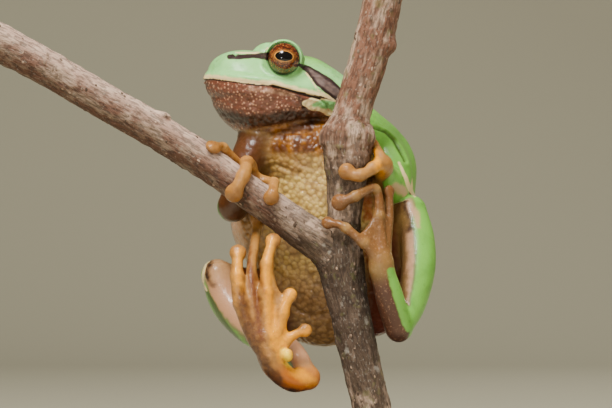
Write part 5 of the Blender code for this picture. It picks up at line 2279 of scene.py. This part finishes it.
def bark_shader() -> Shader:
    """Young bark: red-brown above, grey below, with pale scuffs, lenticels and a little lichen, with painted
    light on the branch's top and painted shade under it.

    Returns:
        The shader.
    """
    made = Shader("twig_bark", Finish(roughness=0.82))
    place = made.millimetres()
    grown = made.attribute("grown", vector=True)
    fibre = made.noise(made.stretch(grown, (1.0, 1.0, 0.3)), 0.3, 6.0)
    patches = made.noise(made.stretch(grown, (1.0, 1.0, 0.5)), 1.5, 6.0)
    speck = made.noise(made.stretch(grown, (1.0, 1.0, 0.6)), 0.22, 3.0)
    split = made.nodes.new("ShaderNodeSeparateXYZ")
    made.links.new(place, split.inputs[0])
    upper = made.step(split.outputs[2], 46.0, 56.0)
    low = made.times(made.step(split.outputs[2], 42.0, 34.0), made.step(split.outputs[2], 17.0, 27.0))
    branch = made.step(split.outputs[0], 0.5, -5.0)
    # painted light on the branch's upper faces
    painted_lit_top = made.times(made.attribute("painted_top_light"), branch)
    side = made.step(split.outputs[0], -1.0, -9.0)
    colour = made.mix(upper, Tint.BARK, Tint.BARK_RED)
    colour = made.mix(side, colour, Tint.BARK_RED)
    pale = made.rest(made.times(low, 0.75))
    colour = made.mix(made.times(made.step(patches, 0.46, 0.64), pale), colour, Tint.BARK_PALE)
    # painted light on the branch's top; then painted shade under the branch, and a darker band on the lower
    # stem
    colour = made.mix(made.times(painted_lit_top, 0.5), colour, Tint.BARK_PAINTED_LIGHT)
    under = made.times(made.rest(made.attribute("painted_top_light")), branch)
    colour = made.mix(made.times(made.math("MAXIMUM", under, low), 0.4), colour, Tint.BARK_DARK)
    colour = made.mix(made.times(made.step(fibre, 0.54, 0.4), 0.5), colour, Tint.BARK_DARK)
    colour = made.mix(made.times(made.step(speck, 0.56, 0.7), 0.25), colour, Tint.LICHEN)
    lichen = made.times(made.step(made.noise(place, 1.7, 5.0), 0.58, 0.68), 0.55)
    colour = made.mix(made.times(lichen, low), colour, Tint.LICHEN)
    moss = made.times(made.step(made.noise(place, 1.1, 5.0), 0.58, 0.68), 0.45)
    colour = made.mix(made.times(moss, made.rest(side)), colour, Tint.MOSS)
    pores = made.cells(made.stretch(grown, (1.0, 1.0, 0.8)), 1.2)
    colour = made.mix(made.step(pores, 0.14, 0.09), colour, Tint.BARK_PALE)
    rings = made.noise(made.stretch(grown, (1.0, 1.0, 0.0)), 0.5, 2.0)
    wood = made.mix(rings, Tint.WOOD, Tint.BARK_PALE)
    colour = made.mix(made.attribute("cut"), colour, wood)
    made.feed(made.surface.inputs["Base Color"], colour)
    made.bump(fibre, 0.22)
    made.bump(made.math("SUBTRACT", 0.3, made.math("MINIMUM", pores, 0.3)), 0.2, 0.6)
    return made


def lenticel_shader() -> Shader:
    """Pale, corky grains that vary from one to the next.

    Returns:
        The shader.
    """
    made = Shader("twig_lenticels", Finish(roughness=0.85))
    place = made.millimetres()
    cork = made.mix(made.step(made.noise(place, 1.6, 3.0), 0.4, 0.62), Tint.BARK, Tint.BARK_PALE)
    made.feed(made.surface.inputs["Base Color"], made.mix(made.noise(place, 0.2), cork, Tint.BARK_DARK))
    made.bump(made.noise(place, 0.1), 0.02, 0.5)
    return made


def base_shader() -> Shader:
    """Satin paint on the stand's base.

    Returns:
        The shader.
    """
    made = Shader("stand_base", Finish(roughness=0.45))
    place = made.millimetres()
    cloud = made.noise(place, 9.0)
    made.feed(made.surface.inputs["Base Color"], made.mix(cloud, Tint.BASE, Tint.BASE_WORN))
    made.bump(made.noise(place, 0.35, 2.0), 0.02, 0.5)
    return made


def steel_shader() -> Shader:
    """Brushed steel on the stand's rod.

    Returns:
        The shader.
    """
    made = Shader("stand_rod", Finish(roughness=0.32, metallic=1.0))
    place = made.millimetres()
    lines = made.noise(made.stretch(place, (1.0, 1.0, 0.04)), 0.12, 3.0)
    made.feed(made.surface.inputs["Base Color"], Tint.STEEL)
    made.bump(lines, 0.01, 0.4)
    return made


def floor_shader() -> Shader:
    """Plain pale paper under and behind the stand.

    Returns:
        The shader.
    """
    made = Shader("studio_paper", Finish(roughness=0.9))
    made.feed(made.surface.inputs["Base Color"], Tint.FLOOR)
    return made


@dataclass(frozen=True)
class Lamp:
    """A square soft light turned to the frog.

    Args:
        name: the light's name.
        place: where it hangs, in metres.
        size: how wide it is.
        power: how strong it is, in watts.
        shines: whether it shows as a highlight.
    """

    name: str
    place: Triple
    size: float
    power: float
    shines: bool = True

    def hang(self) -> None:
        """Makes the light."""
        data = bpy.data.lights.new(self.name, "AREA")
        data.size = self.size
        data.energy = self.power
        obj = linked(self.name, data)
        obj.location = self.place
        heading = Vector((0.0, 0.0, 0.04)) - Vector(self.place)
        obj.rotation_euler = heading.to_track_quat("-Z", "Y").to_euler()
        obj.visible_glossy = self.shines


LAMPS = (
    Lamp("overhead", (-0.1, -0.16, 0.5), 0.3, 6.0, shines=False),
    Lamp("spark", (-0.12, -0.3, 0.45), 0.09, 1.8),
    Lamp("front_fill", (-0.2, -0.6, 0.12), 0.5, 2.2, shines=False),
    Lamp("side_fill", (0.42, -0.25, 0.22), 0.3, 1.2, shines=False),
    Lamp("catch", (-0.14, -0.5, 0.1), 0.03, 0.12),
    Lamp("behind", (0.2, 0.4, 0.34), 0.3, 1.0, shines=False),
)


@dataclass
class Studio:
    """The plain floor, the soft lights and the camera, in metres.

    Args:
        ambient: how strong the even light from all round is.
        sensor: how wide the camera's sensor is, in its own millimetres.
        half_width: how far the floor reaches to each side.
        near_edge: where the floor begins in front.
        bend_start: where it starts to curve up behind.
        bend: the radius of that curve.
        height: how high it runs up; a camera behind it looks over it.
        drop: how far it lies below the stand.
    """

    ambient: float = 0.4
    sensor: float = 36.0
    half_width: float = 1.4
    near_edge: float = -1.2
    bend_start: float = 0.5
    bend: float = 0.15
    height: float = 0.2
    drop: float = 0.0005

    def build(self) -> bpy.types.Object:
        """Sets the camera and the lights, and makes the floor.

        Returns:
            The floor.
        """
        self.camera()
        for lamp in LAMPS:
            lamp.hang()
        world = bpy.data.worlds.new("studio")
        world.use_nodes = True
        background = world.node_tree.nodes["Background"]
        background.inputs["Color"].default_value = Tint.FLOOR.value
        background.inputs["Strength"].default_value = self.ambient
        bpy.context.scene.world = world
        return self.floor()

    def dress(self, floor: bpy.types.Object) -> None:
        """Gives the floor its paper."""
        floor_shader().paint(floor)

    def camera(self) -> None:
        """Places the camera level with the middle of the view, in front of the stem."""
        data = bpy.data.cameras.new("camera")
        data.sensor_width = self.sensor
        data.lens = self.sensor * VIEW_DISTANCE / VIEW_WIDTH
        data.clip_start = 0.01
        obj = linked("camera", data)
        obj.location = to_world(np.array((0.0, -VIEW_DISTANCE, 0.0)))
        obj.rotation_euler = (math.radians(90), 0, 0)
        bpy.context.scene.camera = obj

    def floor(self) -> bpy.types.Object:
        """A sheet that lies flat and curves up behind, low enough to look over from the back.

        Returns:
            The floor.
        """
        mesh = bmesh.new()
        profile = [(self.near_edge, 0.0), (self.bend_start, 0.0)]
        for turn in np.linspace(0, math.pi / 2, 13)[1:]:
            profile.append((self.bend_start + self.bend * math.sin(turn), self.bend * (1 - math.cos(turn))))
        profile.append((self.bend_start + self.bend, self.height))
        sides = (-self.half_width, self.half_width)
        rows = [[mesh.verts.new((x, y, z - self.drop)) for x in sides] for y, z in profile]
        for first, second in zip(rows[:-1], rows[1:]):
            mesh.faces.new((first[0], first[1], second[1], second[0])).smooth = True
        return from_bmesh("studio_floor", mesh)


def main() -> None:
    """Dresses the solids and finishes the frame."""
    logging.basicConfig(level=logging.INFO, format="%(name)s: %(message)s")
    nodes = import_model()["nodes"]
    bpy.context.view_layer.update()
    frog = Skin(Anatomy())
    skin = frog.build()
    frog.dress(skin)
    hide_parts(*Skin.NODES)
    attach(skin, "root")
    gloss = eye_shader()
    for side, node in ((Side.LEFT, "eye_l"), (Side.RIGHT, "eye_r")):
        eye = Eye(side).build()
        gloss.paint(eye)
        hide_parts(node)
        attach(eye, "root")
    perch = Perch()
    bark = perch.build()
    perch.dress(bark)
    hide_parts("perch_stem", "perch_branch")
    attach(bark, "root")
    grains = Lenticels().build(bark, lenticel_shader().material)
    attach(grains, "root")
    base_shader().paint(nodes["stand_base"])
    steel_shader().paint(nodes["stand_rod"])
    studio = Studio()
    floor = studio.build()
    studio.dress(floor)


if __name__ == "__main__":
    main()
